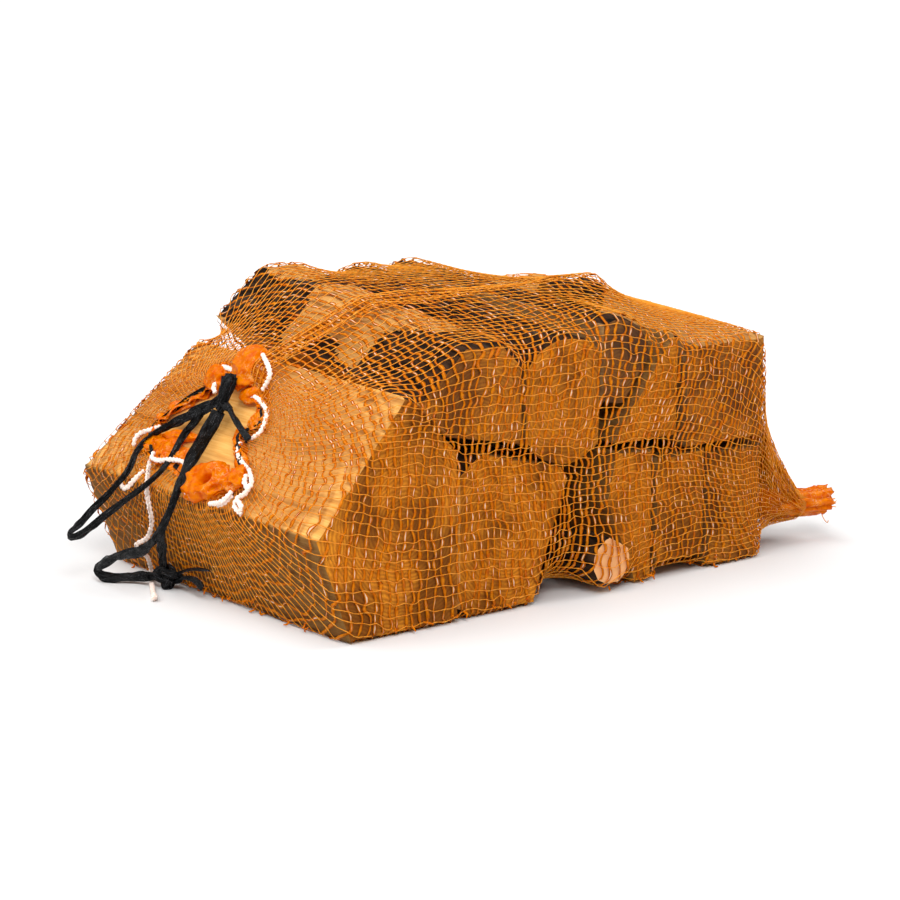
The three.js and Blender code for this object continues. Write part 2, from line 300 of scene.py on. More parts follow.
class Shader:
    """A material's node tree, built one node at a time."""

    def __init__(self, name: str) -> None:
        """Starts an empty material of this name."""
        self.material = bpy.data.materials.new(name)
        self.material.use_nodes = True
        self.tree = self.material.node_tree
        self.tree.nodes.clear()

    def add(self, kind: str, sockets: dict | None = None, **settings: object) -> bpy.types.Node:
        """Adds a node.

        Args:
            kind: the node's type, without its ShaderNode prefix.
            sockets: values or output sockets for its inputs, by the input's name or number.
            settings: the node's own settings.

        Returns:
            The new node.
        """
        node = self.tree.nodes.new("ShaderNode" + kind)
        for key, value in settings.items():
            setattr(node, key, value)
        for key, value in (sockets or {}).items():
            if isinstance(value, bpy.types.NodeSocket):
                self.tree.links.new(value, node.inputs[key])
            else:
                node.inputs[key].default_value = value
        return node

    def grain(self, name: str, scale: tuple[float, float, float]) -> bpy.types.NodeSocket:
        """Reads a stored vector and stretches it.

        Args:
            name: the stored vector's name.
            scale: the stretch along each of its axes.

        Returns:
            The stretched vector.
        """
        place = self.add("Attribute", attribute_name=name)
        return self.add("Mapping", {"Vector": place.outputs["Vector"], "Scale": scale}).outputs[0]

    def noise(self, vector: bpy.types.NodeSocket, scale: float, detail: float) -> bpy.types.NodeSocket:
        """Adds a noise texture and gives its height."""
        return self.add("TexNoise", {"Vector": vector, "Scale": scale, "Detail": detail}).outputs[0]

    def ramp(self, height: bpy.types.NodeSocket, *stops: tuple[float, tuple]) -> bpy.types.NodeSocket:
        """Colours a height by stops of place and colour."""
        node = self.add("ValToRGB", {"Fac": height})
        while len(node.color_ramp.elements) < len(stops):
            node.color_ramp.elements.new(0.5)
        for element, (place, colour) in zip(node.color_ramp.elements, stops):
            element.position = place
            element.color = colour
        return node.outputs[0]

    def maths(self, operation: str, first: object, second: object = 0.0,
              third: object = 0.0) -> bpy.types.NodeSocket:
        """Adds one sum of up to three numbers."""
        return self.add("Math", {0: first, 1: second, 2: third}, operation=operation).outputs[0]

    def blend(self, share: object, first: object, second: object, way: str = "MIX") -> bpy.types.NodeSocket:
        """Blends two colours."""
        node = self.add("Mix", {0: share, 6: first, 7: second}, data_type="RGBA", blend_type=way)
        return node.outputs[2]

    def bump(self, height: bpy.types.NodeSocket, strength: float, reach: float) -> bpy.types.NodeSocket:
        """Turns a height into a bump; reach is in metres."""
        return self.add("Bump", {"Height": height, "Strength": strength, "Distance": reach}).outputs[0]

    def aged(self, wood: object, grey: tuple, fresh: tuple) -> bpy.types.NodeSocket:
        """Greys the wood of a log whose tone is over 0, and makes it fresher where it is under 0."""
        tone_and_glint = self.add("Attribute", attribute_name="tone_and_glint").outputs["Fac"]
        wood = self.blend(tone_and_glint, wood, self.blend(0.75, wood, grey))
        return self.blend(self.maths("MULTIPLY", tone_and_glint, -1.0), wood, fresh)

    def finish(self, shader: bpy.types.Node) -> bpy.types.Material:
        """Ends the tree with this shader and gives the material."""
        self.add("OutputMaterial", {"Surface": shader.outputs[0]})
        return self.material


@dataclass(frozen=True)
class FilmFinish:
    """Orange plastic of the net: glossy, with some of the light going through it, and painted highlights
    where its pieces mark them.
    """

    name: str
    deep: tuple = linear(214, 106, 2)
    bright: tuple = linear(244, 152, 14)
    # the colour of the painted highlights
    pale: tuple = linear(255, 240, 208)
    roughness: float = 0.24
    gloss: float = 0.12
    through: float = 0.4
    crinkle: float = 1500.0  # how close its fine creases lie
    crinkle_depth: float = 0.0004
    wrinkle_highlights: float = 0.0  # how pale the painted highlight lines along its creases are

    def material(self) -> bpy.types.Material:
        """Makes the material: two oranges in soft patches, painted highlights, and light through the film.
        """
        shader = Shader(self.name)
        place = shader.add("TexCoord").outputs["Object"]
        patch = shader.noise(place, 260.0, 2.0)
        colour = shader.ramp(patch, (0.3, self.deep), (0.72, self.bright))
        # painted highlight: the pale glint that a piece marks, on the crowns of the net's tapes
        tone_and_glint = shader.add("Attribute", attribute_name="tone_and_glint").outputs["Fac"]
        glint = shader.ramp(tone_and_glint, (0.1, level(0.0)), (0.5, level(0.9)))
        colour = shader.blend(glint, colour, self.pale)
        if self.wrinkle_highlights:
            # painted highlight: thin pale lines along the creases, in patches
            line = shader.noise(place, 190.0, 2.0)
            pale = level(self.wrinkle_highlights)
            line = shader.ramp(line, (0.5, level(0.0)), (0.525, pale), (0.55, level(0.0)))
            some = shader.ramp(shader.noise(place, 75.0, 1.0), (0.46, level(0.0)), (0.58, level(1.0)))
            colour = shader.blend(shader.blend(1.0, line, some, "MULTIPLY"), colour, self.pale)
        fine = shader.noise(place, self.crinkle, 2.0)
        skin = shader.add("BsdfPrincipled", {
            "Base Color": colour,
            "Roughness": self.roughness,
            "Specular IOR Level": self.gloss,
            "Normal": shader.bump(fine, 0.6, self.crinkle_depth),
        })
        glow = shader.add("BsdfTranslucent", {"Color": colour})
        both = shader.add("MixShader", {0: self.through, 1: skin.outputs[0], 2: glow.outputs[0]})
        return shader.finish(both)


@dataclass(frozen=True)
class RaffiaFinish:
    """Black plastic film string, crumpled along its length."""

    name: str = "black_raffia"
    dark: tuple = linear(2, 2, 3)
    grey: tuple = linear(9, 9, 10)
    crease_highlight: tuple = linear(104, 104, 108)
    roughness: float = 0.26
    gloss: float = 0.13
    crease_depth: float = 0.0009

    def material(self) -> bpy.types.Material:
        """Makes the material: fine lengthwise creases with a soft gloss, and a thin painted highlight along
        them.
        """
        shader = Shader(self.name)
        run = shader.grain("run", (1.0, 1.0, 0.06))
        crease = shader.noise(run, 2.2, 3.0)
        # painted highlight: a thin pale line in each crease
        stops = ((0.4, self.dark), (0.62, self.grey), (0.64, self.crease_highlight), (0.66, self.grey))
        colour = shader.ramp(crease, *stops)
        skin = shader.add("BsdfPrincipled", {
            "Base Color": colour,
            "Roughness": self.roughness,
            "Specular IOR Level": self.gloss,
            "Normal": shader.bump(crease, 0.9, self.crease_depth),
        })
        return shader.finish(skin)


@dataclass(frozen=True)
class WhiteYarnFinish:
    """White looped edging yarn, a little pink where the orange shines into it."""

    name: str = "white_yarn"
    pale: tuple = linear(250, 236, 226)
    warm: tuple = linear(234, 200, 180)
    roughness: float = 0.9
    sheen: float = 0.3
    fuzz_depth: float = 0.0005

    def material(self) -> bpy.types.Material:
        """Makes the material: a soft fuzzy white."""
        shader = Shader(self.name)
        place = shader.add("TexCoord").outputs["Object"]
        fuzz = shader.noise(place, 900.0, 3.0)
        skin = shader.add("BsdfPrincipled", {
            "Base Color": shader.ramp(fuzz, (0.35, self.warm), (0.6, self.pale)),
            "Roughness": self.roughness,
            "Sheen Weight": self.sheen,
            "Normal": shader.bump(fuzz, 0.6, self.fuzz_depth),
        })
        return shader.finish(skin)


@dataclass(frozen=True)
class SplitFinish:
    """A split face: pale wood with fibres along the log."""

    name: str = "split_face"
    pale: tuple = linear(232, 176, 96)
    tan: tuple = linear(212, 146, 64)
    brown: tuple = linear(150, 88, 28)
    grey: tuple = linear(84, 72, 60)
    fresh: tuple = linear(240, 190, 132)
    # the colour of the painted shade on splits that face gaps or turn away from the light
    damp_and_shade: tuple = linear(64, 36, 12)
    roughness: float = 0.78
    gloss: float = 0.1
    fibre_depth: float = 0.0006

    def material(self) -> bpy.types.Material:
        """Makes the material: long fibres, darker streaks, painted shade on some splits and the log's own
        tone.
        """
        shader = Shader(self.name)
        fibre = shader.noise(shader.grain("grain", (1.0, 0.035, 1.0)), 0.9, 4.0)
        streak = shader.noise(shader.grain("grain", (1.0, 0.05, 1.0)), 0.14, 3.0)
        wood = shader.ramp(fibre, (0.3, self.tan), (0.62, self.pale))
        dark = shader.ramp(streak, (0.52, level(0.0)), (0.72, level(0.7)))
        wood = shader.blend(dark, wood, self.brown)
        # painted shade: the splits that a log marks are darkened, where they face the gaps between logs or
        # turn down away from the light
        low = shader.add("Attribute", attribute_name="damp_and_shade").outputs["Fac"]
        wood = shader.blend(shader.maths("MULTIPLY", low, 0.75), wood, self.damp_and_shade)
        skin = shader.add("BsdfPrincipled", {
            "Base Color": shader.aged(wood, self.grey, self.fresh),
            "Roughness": self.roughness,
            "Specular IOR Level": self.gloss,
            "Normal": shader.bump(fibre, 0.6, self.fibre_depth),
        })
        return shader.finish(skin)


@dataclass(frozen=True)
class SawnFinish:
    """A sawn end: rings round the pith, saw marks and drying cracks."""

    name: str = "sawn_end"
    pale: tuple = linear(238, 154, 38)
    late: tuple = linear(160, 86, 18)
    crack: tuple = linear(52, 30, 12)
    damp_and_shade: tuple = linear(100, 52, 12)
    grey: tuple = linear(56, 52, 46)
    fresh: tuple = linear(246, 182, 122)
    roughness: float = 0.85
    gloss: float = 0.1
    saw_depth: float = 0.0005

    def material(self) -> bpy.types.Material:
        """Makes the material: uneven rings, radial cracks and straight saw marks."""
        shader = Shader(self.name)
        flat = shader.grain("grain", (1.0, 0.0, 1.0))
        part = shader.add("SeparateXYZ", {0: flat}).outputs
        reach = shader.add("VectorMath", {0: flat}, operation="LENGTH").outputs["Value"]
        wobble = shader.noise(flat, 0.05, 2.0)
        spread = shader.maths("MULTIPLY_ADD", wobble, 9.0, reach)
        ring = shader.maths("SINE", shader.maths("MULTIPLY", spread, 2.4))
        wood = shader.blend(shader.maths("MULTIPLY_ADD", ring, 0.28, 0.35), self.pale, self.late)
        angle = shader.maths("ARCTAN2", part["Z"], part["X"])
        bent = shader.maths("MULTIPLY", wobble, 8.0)
        spoke = shader.maths("SINE", shader.maths("MULTIPLY_ADD", angle, 7.0, bent))
        split = shader.ramp(shader.maths("ABSOLUTE", spoke), (0.0, level(1.0)), (0.035, level(0.0)))
        wood = shader.blend(shader.maths("MULTIPLY", split, 0.75), wood, self.crack)
        dust = shader.noise(shader.grain("grain", (1.0, 1.0, 1.0)), 0.5, 5.0)
        worn = shader.ramp(dust, (0.4, level(0.0)), (0.7, level(0.4)))
        wood = shader.blend(worn, wood, self.late)
        patch = shader.noise(shader.grain("grain", (1.0, 1.0, 1.0)), 0.025, 2.0)
        dark = shader.ramp(patch, (0.42, level(0.0)), (0.6, level(0.8)))
        wood = shader.blend(dark, wood, self.damp_and_shade)
        waves = {"Vector": flat, "Scale": 0.35, "Distortion": 1.5, "Detail": 2.0}
        saw = shader.add("TexWave", waves).outputs[1]
        skin = shader.add("BsdfPrincipled", {
            "Base Color": shader.aged(wood, self.grey, self.fresh),
            "Roughness": self.roughness,
            "Specular IOR Level": self.gloss,
            "Normal": shader.bump(saw, 0.35, self.saw_depth),
        })
        return shader.finish(skin)


@dataclass(frozen=True)
class BarkFinish:
    """Dark rough bark, with grey patches."""

    name: str = "log_bark"
    dark: tuple = linear(20, 13, 8)
    brown: tuple = linear(66, 44, 28)
    grey: tuple = linear(96, 86, 74)
    roughness: float = 0.92
    gloss: float = 0.1
    plate_depth: float = 0.0025

    def material(self) -> bpy.types.Material:
        """Makes the material: plates split by dark cracks along the log."""
        shader = Shader(self.name)
        place = shader.grain("grain", (1.0, 0.35, 1.0))
        plate = shader.noise(place, 0.22, 5.0)
        patch = shader.noise(place, 0.07, 3.0)
        colour = shader.ramp(plate, (0.36, self.dark), (0.62, self.brown))
        lichen = shader.ramp(patch, (0.55, level(0.0)), (0.8, level(0.5)))
        colour = shader.blend(lichen, colour, self.grey)
        skin = shader.add("BsdfPrincipled", {
            "Base Color": colour,
            "Roughness": self.roughness,
            "Specular IOR Level": self.gloss,
            "Normal": shader.bump(plate, 0.9, self.plate_depth),
        })
        return shader.finish(skin)


@dataclass
class Log:
    """One split log: a disc of trunk, cut by splits, drawn out along Y."""

    name: str
    front: tuple[float, float]
    radius: float
    splits: list[tuple[float, float]]
    drift: tuple[float, float] = (0.0, 0.0)
    thicker: float = 1.0
    ends: tuple[float, float] = (-LOG_LENGTH / 2, LOG_LENGTH / 2)
    tone_and_glint: float = 0.3
    outline_step: float = 3.0
    length_step: float = 6.0
    split_relief: float = 1.3
    bark_relief: float = 2.2
    rim_round: float = 0.8
    barked: tuple[float, ...] = ()  # the splits that are worn bark, by their degrees
    turned: tuple[float, float] | None = None  # lies along X, turned about this point
    chip: tuple[float, float] = (0.0, 0.0)  # above this height the back end leans forward, by this slope
    damp_and_shade: tuple[float, ...] = ()  # the splits with painted shade, where they face gaps or turn away from the light, by their degrees
    edge_share: float = 0.3  # the net's rounding over an edge is at most this share of the radius

    def turn(self, points: np.ndarray, way: int) -> np.ndarray:
        """Turns points by a quarter about the log's turning point, if it has one."""
        if self.turned is None:
            return points
        x, y = points[..., 0] - self.turned[0], points[..., 1] - self.turned[1]
        return np.stack([self.turned[0] - way * y, self.turned[1] + way * x, points[..., 2]], axis=-1)

    def section(self, points: np.ndarray) -> tuple[np.ndarray, np.ndarray, np.ndarray]:
        """Gives points' places in the log's section: two offsets from the pith, and its size there."""
        share = points[..., 1] / LOG_LENGTH + 0.5
        size = 1 + (self.thicker - 1) * share
        right = points[..., 0] - self.front[0] - self.drift[0] * share
        high = points[..., 2] - self.front[1] - self.drift[1] * share
        return right, high, size

    def ways(self) -> list[tuple[np.ndarray, float]]:
        """Gives the splits as section directions and reaches."""
        return [(np.array([np.cos(a), np.sin(a)]), reach) for a, reach in
                ((np.radians(degrees), reach) for degrees, reach in self.splits)]

    def back_end(self, high: np.ndarray) -> np.ndarray:
        """Gives where the log ends at the back, at heights over its pith."""
        return self.ends[1] - self.chip[1] * np.maximum(0.0, high - self.chip[0])

    def push_out(self, points: np.ndarray, room: float, edge_round: float) -> np.ndarray:
        """Moves points out of the log, through its nearest face or round its nearest edge.

        Args:
            points: points of the net.
            room: how far off the log they have to be.
            edge_round: the rounding with which the net goes over an edge.

        Returns:
            The moved points.
        """
        points = self.turn(points, 1)
        right, high, size = self.section(points)
        away = np.maximum(np.hypot(right, high), 1e-6)
        faces = [(away - self.radius * size, np.stack([right / away, 0 * away, high / away], axis=-1))]
        for way, reach in self.ways():
            faces.append((way[0] * right + way[1] * high - reach * size, np.array([way[0], 0.0, way[1]])))
        faces.append((self.ends[0] - points[..., 1], np.array([0.0, -1.0, 0.0])))
        faces.append((points[..., 1] - self.back_end(high), np.array([0.0, 1.0, 0.0])))
        curve = min(edge_round, self.edge_share * self.radius)
        push, way = np.zeros_like(points), np.zeros_like(points)
        nearest = np.full_like(away, -np.inf)
        for over, face in faces:
            push += np.maximum(0.0, over + curve)[..., None] * face
            way = np.where((over > nearest)[..., None], face, way)
            nearest = np.maximum(nearest, over)
        at_face = nearest + curve > 0
        depth = np.where(at_face, np.linalg.norm(push, axis=-1) - curve, nearest)
        way = np.where(at_face[..., None], unit(push), way)
        return self.turn(points + way * np.maximum(room - depth, 0.0)[..., None], -1)

    def form(self) -> bmesh.types.BMesh:
        """Makes the plain log: section offsets as X and Y, and its length as Z."""
        form = bmesh.new()
        sides = max(24, int(2 * np.pi * self.radius / self.outline_step))
        bmesh.ops.create_circle(form, cap_ends=True, segments=sides, radius=self.radius)
        for way, reach in self.ways():
            plane = Vector((*way, 0.0))
            everything = form.verts[:] + form.edges[:] + form.faces[:]
            bmesh.ops.bisect_plane(form, geom=everything, plane_co=plane * reach, plane_no=plane,
                                   clear_outer=True)
        bmesh.ops.delete(form, geom=form.faces[:], context="FACES_ONLY")
        for edge in form.edges[:]:
            cuts = int(edge.calc_length() / self.outline_step)
            if cuts:
                bmesh.ops.subdivide_edges(form, edges=[edge], cuts=cuts)
        steps = int((self.ends[1] - self.ends[0]) / self.length_step)
        bmesh.ops.translate(form, verts=form.verts[:], vec=(0.0, 0.0, self.ends[0]))
        rim = form.edges[:]
        for _ in range(steps):
            grown = bmesh.ops.extrude_edge_only(form, edges=rim)["geom"]
            rim = [part for part in grown if isinstance(part, bmesh.types.BMEdge)]
            moved = [part for part in grown if isinstance(part, bmesh.types.BMVert)]
            bmesh.ops.translate(form, verts=moved, vec=(0.0, 0.0, (self.ends[1] - self.ends[0]) / steps))
        bmesh.ops.holes_fill(form, edges=form.edges[:], sides=0)
        return form

    def has_bark(self, split: int, middle: np.ndarray) -> bool:
        """Tells whether there is a patch of bark at this place on a split."""
        patch = soft_noise(middle[None] * 0.03, 5)[0]
        return self.splits[split][0] in self.barked and patch > -0.05

    def skins(self, form: bmesh.types.BMesh) -> None:
        """Tells the plain form's faces apart as split wood, bark and sawn ends."""
        for face in form.faces:
            middle = np.array(face.calc_center_median())
            gaps = [reach - way.dot(middle[:2]) for way, reach in self.ways()]
            if len(face.verts) > 4:
                face.material_index = Skin.SAWN.value
            elif gaps and min(gaps) < SPLIT_FACE and not self.has_bark(int(np.argmin(gaps)), middle):
                face.material_index = Skin.SPLIT.value
            else:
                face.material_index = Skin.BARK.value
            face.smooth = face.material_index != Skin.SAWN.value

    def worn(self, plain: np.ndarray, seed: int) -> np.ndarray:
        """Works the surface: fibres on the split faces, rough bark, and rounded rims.

        Args:
            plain: the form's points.
            seed: the log's own random pattern.

        Returns:
            The moved points.
        """
        inward = -unit(plain[:, :2])
        fibre = soft_noise(plain * [0.14, 0.14, 0.014], seed)
        fibre = fibre + 0.6 * soft_noise(plain * [0.4, 0.4, 0.03], seed + 1)
        crust = soft_noise(plain * [0.16, 0.16, 0.06], seed + 2)
        crust = crust + 0.6 * soft_noise(plain * [0.4, 0.4, 0.2], seed + 3)
        depth = self.bark_relief * (0.5 + 0.35 * crust)
        for way, reach in self.ways():
            on_split = np.abs(plain[:, :2] @ way - reach) < ON_SPLIT
            inward[on_split] = -way
            depth[on_split] = self.split_relief * (0.5 + 0.35 * fibre[on_split])
        at_end = np.isclose(plain[:, 2], self.ends[0]) | np.isclose(plain[:, 2], self.ends[1])
        depth = np.minimum(depth, 0.12 * self.radius) + self.rim_round * at_end
        moved = plain.copy()
        moved[:, :2] += inward * depth[:, None]
        return moved

    def build(self, seed: int, *materials: bpy.types.Material) -> bpy.types.Object:
        """Builds the log in its place.

        Args:
            seed: the log's own random pattern.
            materials: its split, bark and sawn materials.

        Returns:
            The dressed piece.
        """
        form = self.form()
        self.skins(form)
        plain = np.array([vert.co for vert in form.verts])
        worn = self.worn(plain, seed)
        share = plain[:, 2] / LOG_LENGTH + 0.5
        size = 1 + (self.thicker - 1) * share
        back = self.back_end(plain[:, 1] * size)
        long = (worn[:, 2] - self.ends[0]) * (back - self.ends[0]) / (self.ends[1] - self.ends[0])
        placed = np.stack([
            self.front[0] + self.drift[0] * share + worn[:, 0] * size,
            self.ends[0] + long,
            self.front[1] + self.drift[1] * share + worn[:, 1] * size,
        ], axis=1)
        for vert, place in zip(form.verts, to_row(self.turn(placed, -1))):
            vert.co = place
        form.normal_update()
        bmesh.ops.recalc_face_normals(form, faces=form.faces[:])
        mesh = bpy.data.meshes.new(self.name)
        form.to_mesh(mesh)
        form.free()
        piece = bpy.data.objects.new(self.name, mesh)
        bpy.context.scene.collection.objects.link(piece)
        mark(piece, "grain", plain[:, [0, 2, 1]] + [0.0, GRAIN_APART * seed, 0.0])
        mark(piece, "tone_and_glint", np.full(len(plain), self.tone_and_glint))
        # marks the points of those splits for the painted shade
        gaps = [np.where(degrees in self.damp_and_shade, 1.0, 0.0) * (np.abs(plain[:, :2] @ way - reach) < ON_SPLIT)
                for (degrees, reach), (way, _) in zip(self.splits, self.ways())]
        mark(piece, "damp_and_shade", np.max(gaps, axis=0) if gaps else np.zeros(len(plain)))
        return dress(piece, Slot.WOOD, *materials)


@dataclass(frozen=True)
class Drawing:
    """How a grid of the net is drawn tight over the logs."""

    girth: float  # how hard a row pulls itself together
    rounds: int  # how often every point is moved
    room: float  # how far off the logs the net lies
    edge_round: float  # the rounding with which it goes over their edges
    floor: float  # how high its lowest points lie


@dataclass
class WoodPile:
    """The logs in the sack: a low layer, an upper layer tipped up at the back, and a bark billet."""

    logs: list[Log] = field(default_factory=lambda: [
        Log("log_under_mouth", (-130, 70), 84, [(140.5, 48), (46, 57), (0, 42), (-90, 69), (200, 62)],
            (-7, 3), 1.03, (-127, 137), 0.1, chip=(-10.0, 0.45), damp_and_shade=(200,)),
        Log("log_low_left", (-48, 50), 58, [(75, 48), (-20, 37), (180, 39), (-90, 49)],
            (-2, 2), 1.03, tone_and_glint=0.05, damp_and_shade=(75, -20)),
        Log("log_stick", (31, 22), 17, [(60, 14), (-90, 16)], (0, 0), 1.0, (-134, 92), -0.9),
        Log("log_low_middle", (56, 50), 62, [(85, 40), (0, 18), (-90, 49), (203, 17), (167, 24)],
            (1, 2), 1.03, tone_and_glint=0.1, damp_and_shade=(85, 0, 203, 167)),
        Log("log_low_right", (99, 47), 47, [(93, 36), (0, 22), (180, 22), (-90, 37)],
            (1, -8), 1.02, tone_and_glint=0.2, damp_and_shade=(93, 180)),
        Log("log_low_end", (149, 40), 58, [(90, 40), (0, 25), (180, 24), (-90, 39)],
            (2, 1), 1.03, (-124, 127), 0.3, damp_and_shade=(90, 180)),
        Log("log_top_left", (-68, 126), 58,
            [(-101.5, 15), (0, 32), (45, 43), (90, 45), (131, 43), (226, 25)],
            (15, 22), 1.04, tone_and_glint=0.35, barked=(90, 131), damp_and_shade=(-101.5, 0)),
        Log("log_top_middle", (2, 128), 42, [(0, 28), (180, 35)],
            (13, 18), 1.04, (-122, 124), 0.2, damp_and_shade=(0, 180)),
        Log("log_top_grey", (48, 148), 29, [(-38, 22), (180, 14)], (11, 12), 1.0, (-118, 130), 0.9),
        Log("log_top_pale", (78, 120), 45, [(142, 16), (0, 19), (-90, 26)],
            (9, 9), 1.0, (-123, 121), 0.15, damp_and_shade=(142, -90)),
        Log("log_top_end", (136, 116), 58, [(90, 38), (0, 38), (180, 34), (-90, 31), (135, 45)],
            (5, 16), 1.0, tone_and_glint=0.45, damp_and_shade=(135, 180, -90)),
        Log("log_billet", (84, 175), 14, [], (0, 0), 1.0, (-37.5, 4.5), 0.6, turned=(84.0, -21.5)),
    ])
    first_seed: int = 17
    seed_step: int = 10

    def push_out(self, points: np.ndarray, drawing: Drawing) -> np.ndarray:
        """Moves points out of every log in turn, and up to the floor."""
        for log in self.logs:
            points = log.push_out(points, drawing.room, drawing.edge_round)
        points[..., 2] = np.maximum(points[..., 2], drawing.floor)
        return points

    def build(self) -> list[bpy.types.Object]:
        """Builds all the logs."""
        materials = (SplitFinish().material(), BarkFinish().material(), SawnFinish().material())
        seeds = range(self.first_seed, self.first_seed + self.seed_step * len(self.logs), self.seed_step)
        return [log.build(seed, *materials) for seed, log in zip(seeds, self.logs)]


@dataclass
class NetSkin:
    """The net's surface, drawn tight over the logs, first with a coarse grid and then a fine one."""

    pile: WoodPile
    rows: int = 66
    columns: int = 84
    mouth_rows: int = 16
    end_rows: int = 15
    tail_rows: int = 4
    # how far the tight net reaches along its columns
    mouth_reach: tuple[float, float, float] = (140.0, 75.0, 22.0)  # in front, at the back and on top
    body_reach: float = 290.0
    end_reach: tuple[float, float] = (60.0, 250.0)  # in front, and on top or at the back
    tight: Drawing = Drawing(0.13, 420, 2.0, 3.0, 0.0)
    fine_rows: int = 4  # fine rows in one coarse row
    fine_columns: int = 160
    fine_tight: Drawing = Drawing(0.15, 110, 1.4, 1.6, FLOOR_GAP)
    # the drawn ring on the log face, as offsets along Y and up the face
    ring: tuple = ((43, -14), (26, 10), (5.5, 26), (-15, 34), (-36, 29.5), (-49, 19), (-59.5, 7), (-45, -3),
                   (-56.5, -15), (-70, -28), (-58.5, -42), (-37.5, -44), (-17, -39), (3.5, -34.5), (28, -33))
    tail_inside: tuple = (188.0, -112.0, 36.0)
    tail_root: tuple = (219.0, -110.0, 29.0)
    tail_tip: tuple = (252.0, -109.0, 27.0)
    tail_radius: float = 11.0
    slack_rings: tuple = (  # share of the way, x, y, z, half width, half height, squareness
        (0.07, -222, 22, 95, 95, 70, 2.5), (0.17, -228, 0, 100, 138, 108, 4),
        (0.22, -200, 0, 100, 142, 112, 6), (0.78, 176, 0, 100, 142, 112, 6),
        (0.86, 200, -20, 90, 130, 100, 4), (0.95, 206, -80, 60, 50, 50, 2),
    )

    def drawn_ring(self, count: int, lift: float = 1.5) -> np.ndarray:
        """Gives the drawn ring as a smooth closed line, so far off the log face."""
        places = np.column_stack([np.array(self.ring, float), np.full(len(self.ring), lift)])
        return read_curve(on_face(places), np.arange(count) * len(places) / count, True)

    def tail_circle(self, turns: np.ndarray, share: float) -> np.ndarray:
        """Gives a ring of the tail, a share of the way from its root to its tip."""
        middle = np.array(self.tail_root) * (1 - share) + np.array(self.tail_tip) * share
        round_x = np.zeros_like(turns)
        return middle + self.tail_radius * np.stack([round_x, np.cos(turns), np.sin(turns)], axis=1)

    def slack(self, turns: np.ndarray) -> np.ndarray:
        """Gives the coarse grid of the slack sack, row by row from the mouth to the tail."""
        free = self.rows - self.tail_rows
        stops, shares = [self.drawn_ring(len(turns))], [0.0]
        for share, x, y, z, wide, high, square in self.slack_rings:
            flank = np.sign(np.cos(turns)) * np.abs(np.cos(turns)) ** (2 / square)
            rise = np.sign(np.sin(turns)) * np.abs(np.sin(turns)) ** (2 / square)
            stops.append(np.stack([np.full_like(turns, x), y + wide * flank, z + high * rise], axis=1))
            shares.append(share)
        stops.append(self.tail_circle(turns, 0.0))
        shares.append(1.0)
        places = np.interp(np.arange(free + 1) / free, shares, np.arange(len(shares)))
        low = np.minimum(places.astype(int), len(stops) - 2)
        part = (places - low)[:, None, None]
        body = np.array(stops)[low] * (1 - part) + np.array(stops)[low + 1] * part
        tail = [self.tail_circle(turns, (k + 1) / self.tail_rows) for k in range(self.tail_rows)]
        return np.concatenate([body, tail])

    def row_steps(self, turns: np.ndarray, fine: int) -> np.ndarray:
        """Gives how far each row lies from the next, along each column, when the net is tight."""
        up = np.maximum(0.0, np.sin(turns))
        back = np.maximum(0.0, np.cos(turns))
        mouth_front, mouth_back, mouth_top = self.mouth_reach
        side = mouth_front + (mouth_back - mouth_front) * back
        mouth = (side + (mouth_top - side) * up) / self.mouth_rows
        end_near, end_far = self.end_reach
        end = (end_near + (end_far - end_near) * np.maximum(up, back)) / self.end_rows
        body_rows = self.rows - self.tail_rows - self.end_rows - self.mouth_rows
        body = np.full_like(turns, self.body_reach / body_rows)
        steps = [mouth] * self.mouth_rows + [body] * body_rows + [end] * (self.end_rows + self.tail_rows)
        return np.repeat(np.array(steps), fine, axis=0) / fine

    def tighten(self, net: np.ndarray, steps: np.ndarray, drawing: Drawing, held: int) -> np.ndarray:
        """Draws a grid tight over the logs; its first row and its last held rows stay put.

        Args:
            net: the grid's points, by row and column.
            steps: how far each row lies from the next.
            drawing: how it is drawn.
            held: how many of the last rows stay put.

        Returns:
            The tight grid.
        """
        before, after = 1 / steps[:-1, :, None], 1 / steps[1:, :, None]
        for _ in range(drawing.rounds):
            beside = (np.roll(net, 1, axis=1) + np.roll(net, -1, axis=1))[1:-1] * drawing.girth
            moved = (beside + net[:-2] * before + net[2:] * after) / (before + after + 2 * drawing.girth)
            net = net.copy()
            net[1:-held] = self.pile.push_out(moved[:len(net) - 1 - held], drawing)
        return net

    def coarse(self) -> np.ndarray:
        """Gives the tight coarse grid."""
        turns = 2 * np.pi * np.arange(self.columns) / self.columns
        steps = self.row_steps(turns, 1)
        held = self.tail_rows + 1
        return self.tighten(self.slack(turns), steps, self.tight, held)

    def fine(self) -> np.ndarray:
        """Gives the tight fine grid, with the drawn ring as its first row."""
        coarse = self.coarse()
        by_row = read_curve(coarse, np.arange(self.rows * self.fine_rows + 1) / self.fine_rows)
        places = np.arange(self.fine_columns) * self.columns / self.fine_columns
        net = read_curve(by_row.transpose(1, 0, 2), places, True).transpose(1, 0, 2).copy()
        net[0] = self.drawn_ring(self.fine_columns)
        turns = 2 * np.pi * np.arange(self.fine_columns) / self.fine_columns
        steps = self.row_steps(turns, self.fine_rows)
        held = self.tail_rows * self.fine_rows + 1
        return self.tighten(net, steps, self.fine_tight, held)


def net_normals(net: np.ndarray) -> np.ndarray:
    """Gives the outward directions of a grid that is closed along its columns' axis."""
    round_girth = np.roll(net, -1, axis=1) - np.roll(net, 1, axis=1)
    return unit(np.cross(round_girth, np.gradient(net, axis=0)))


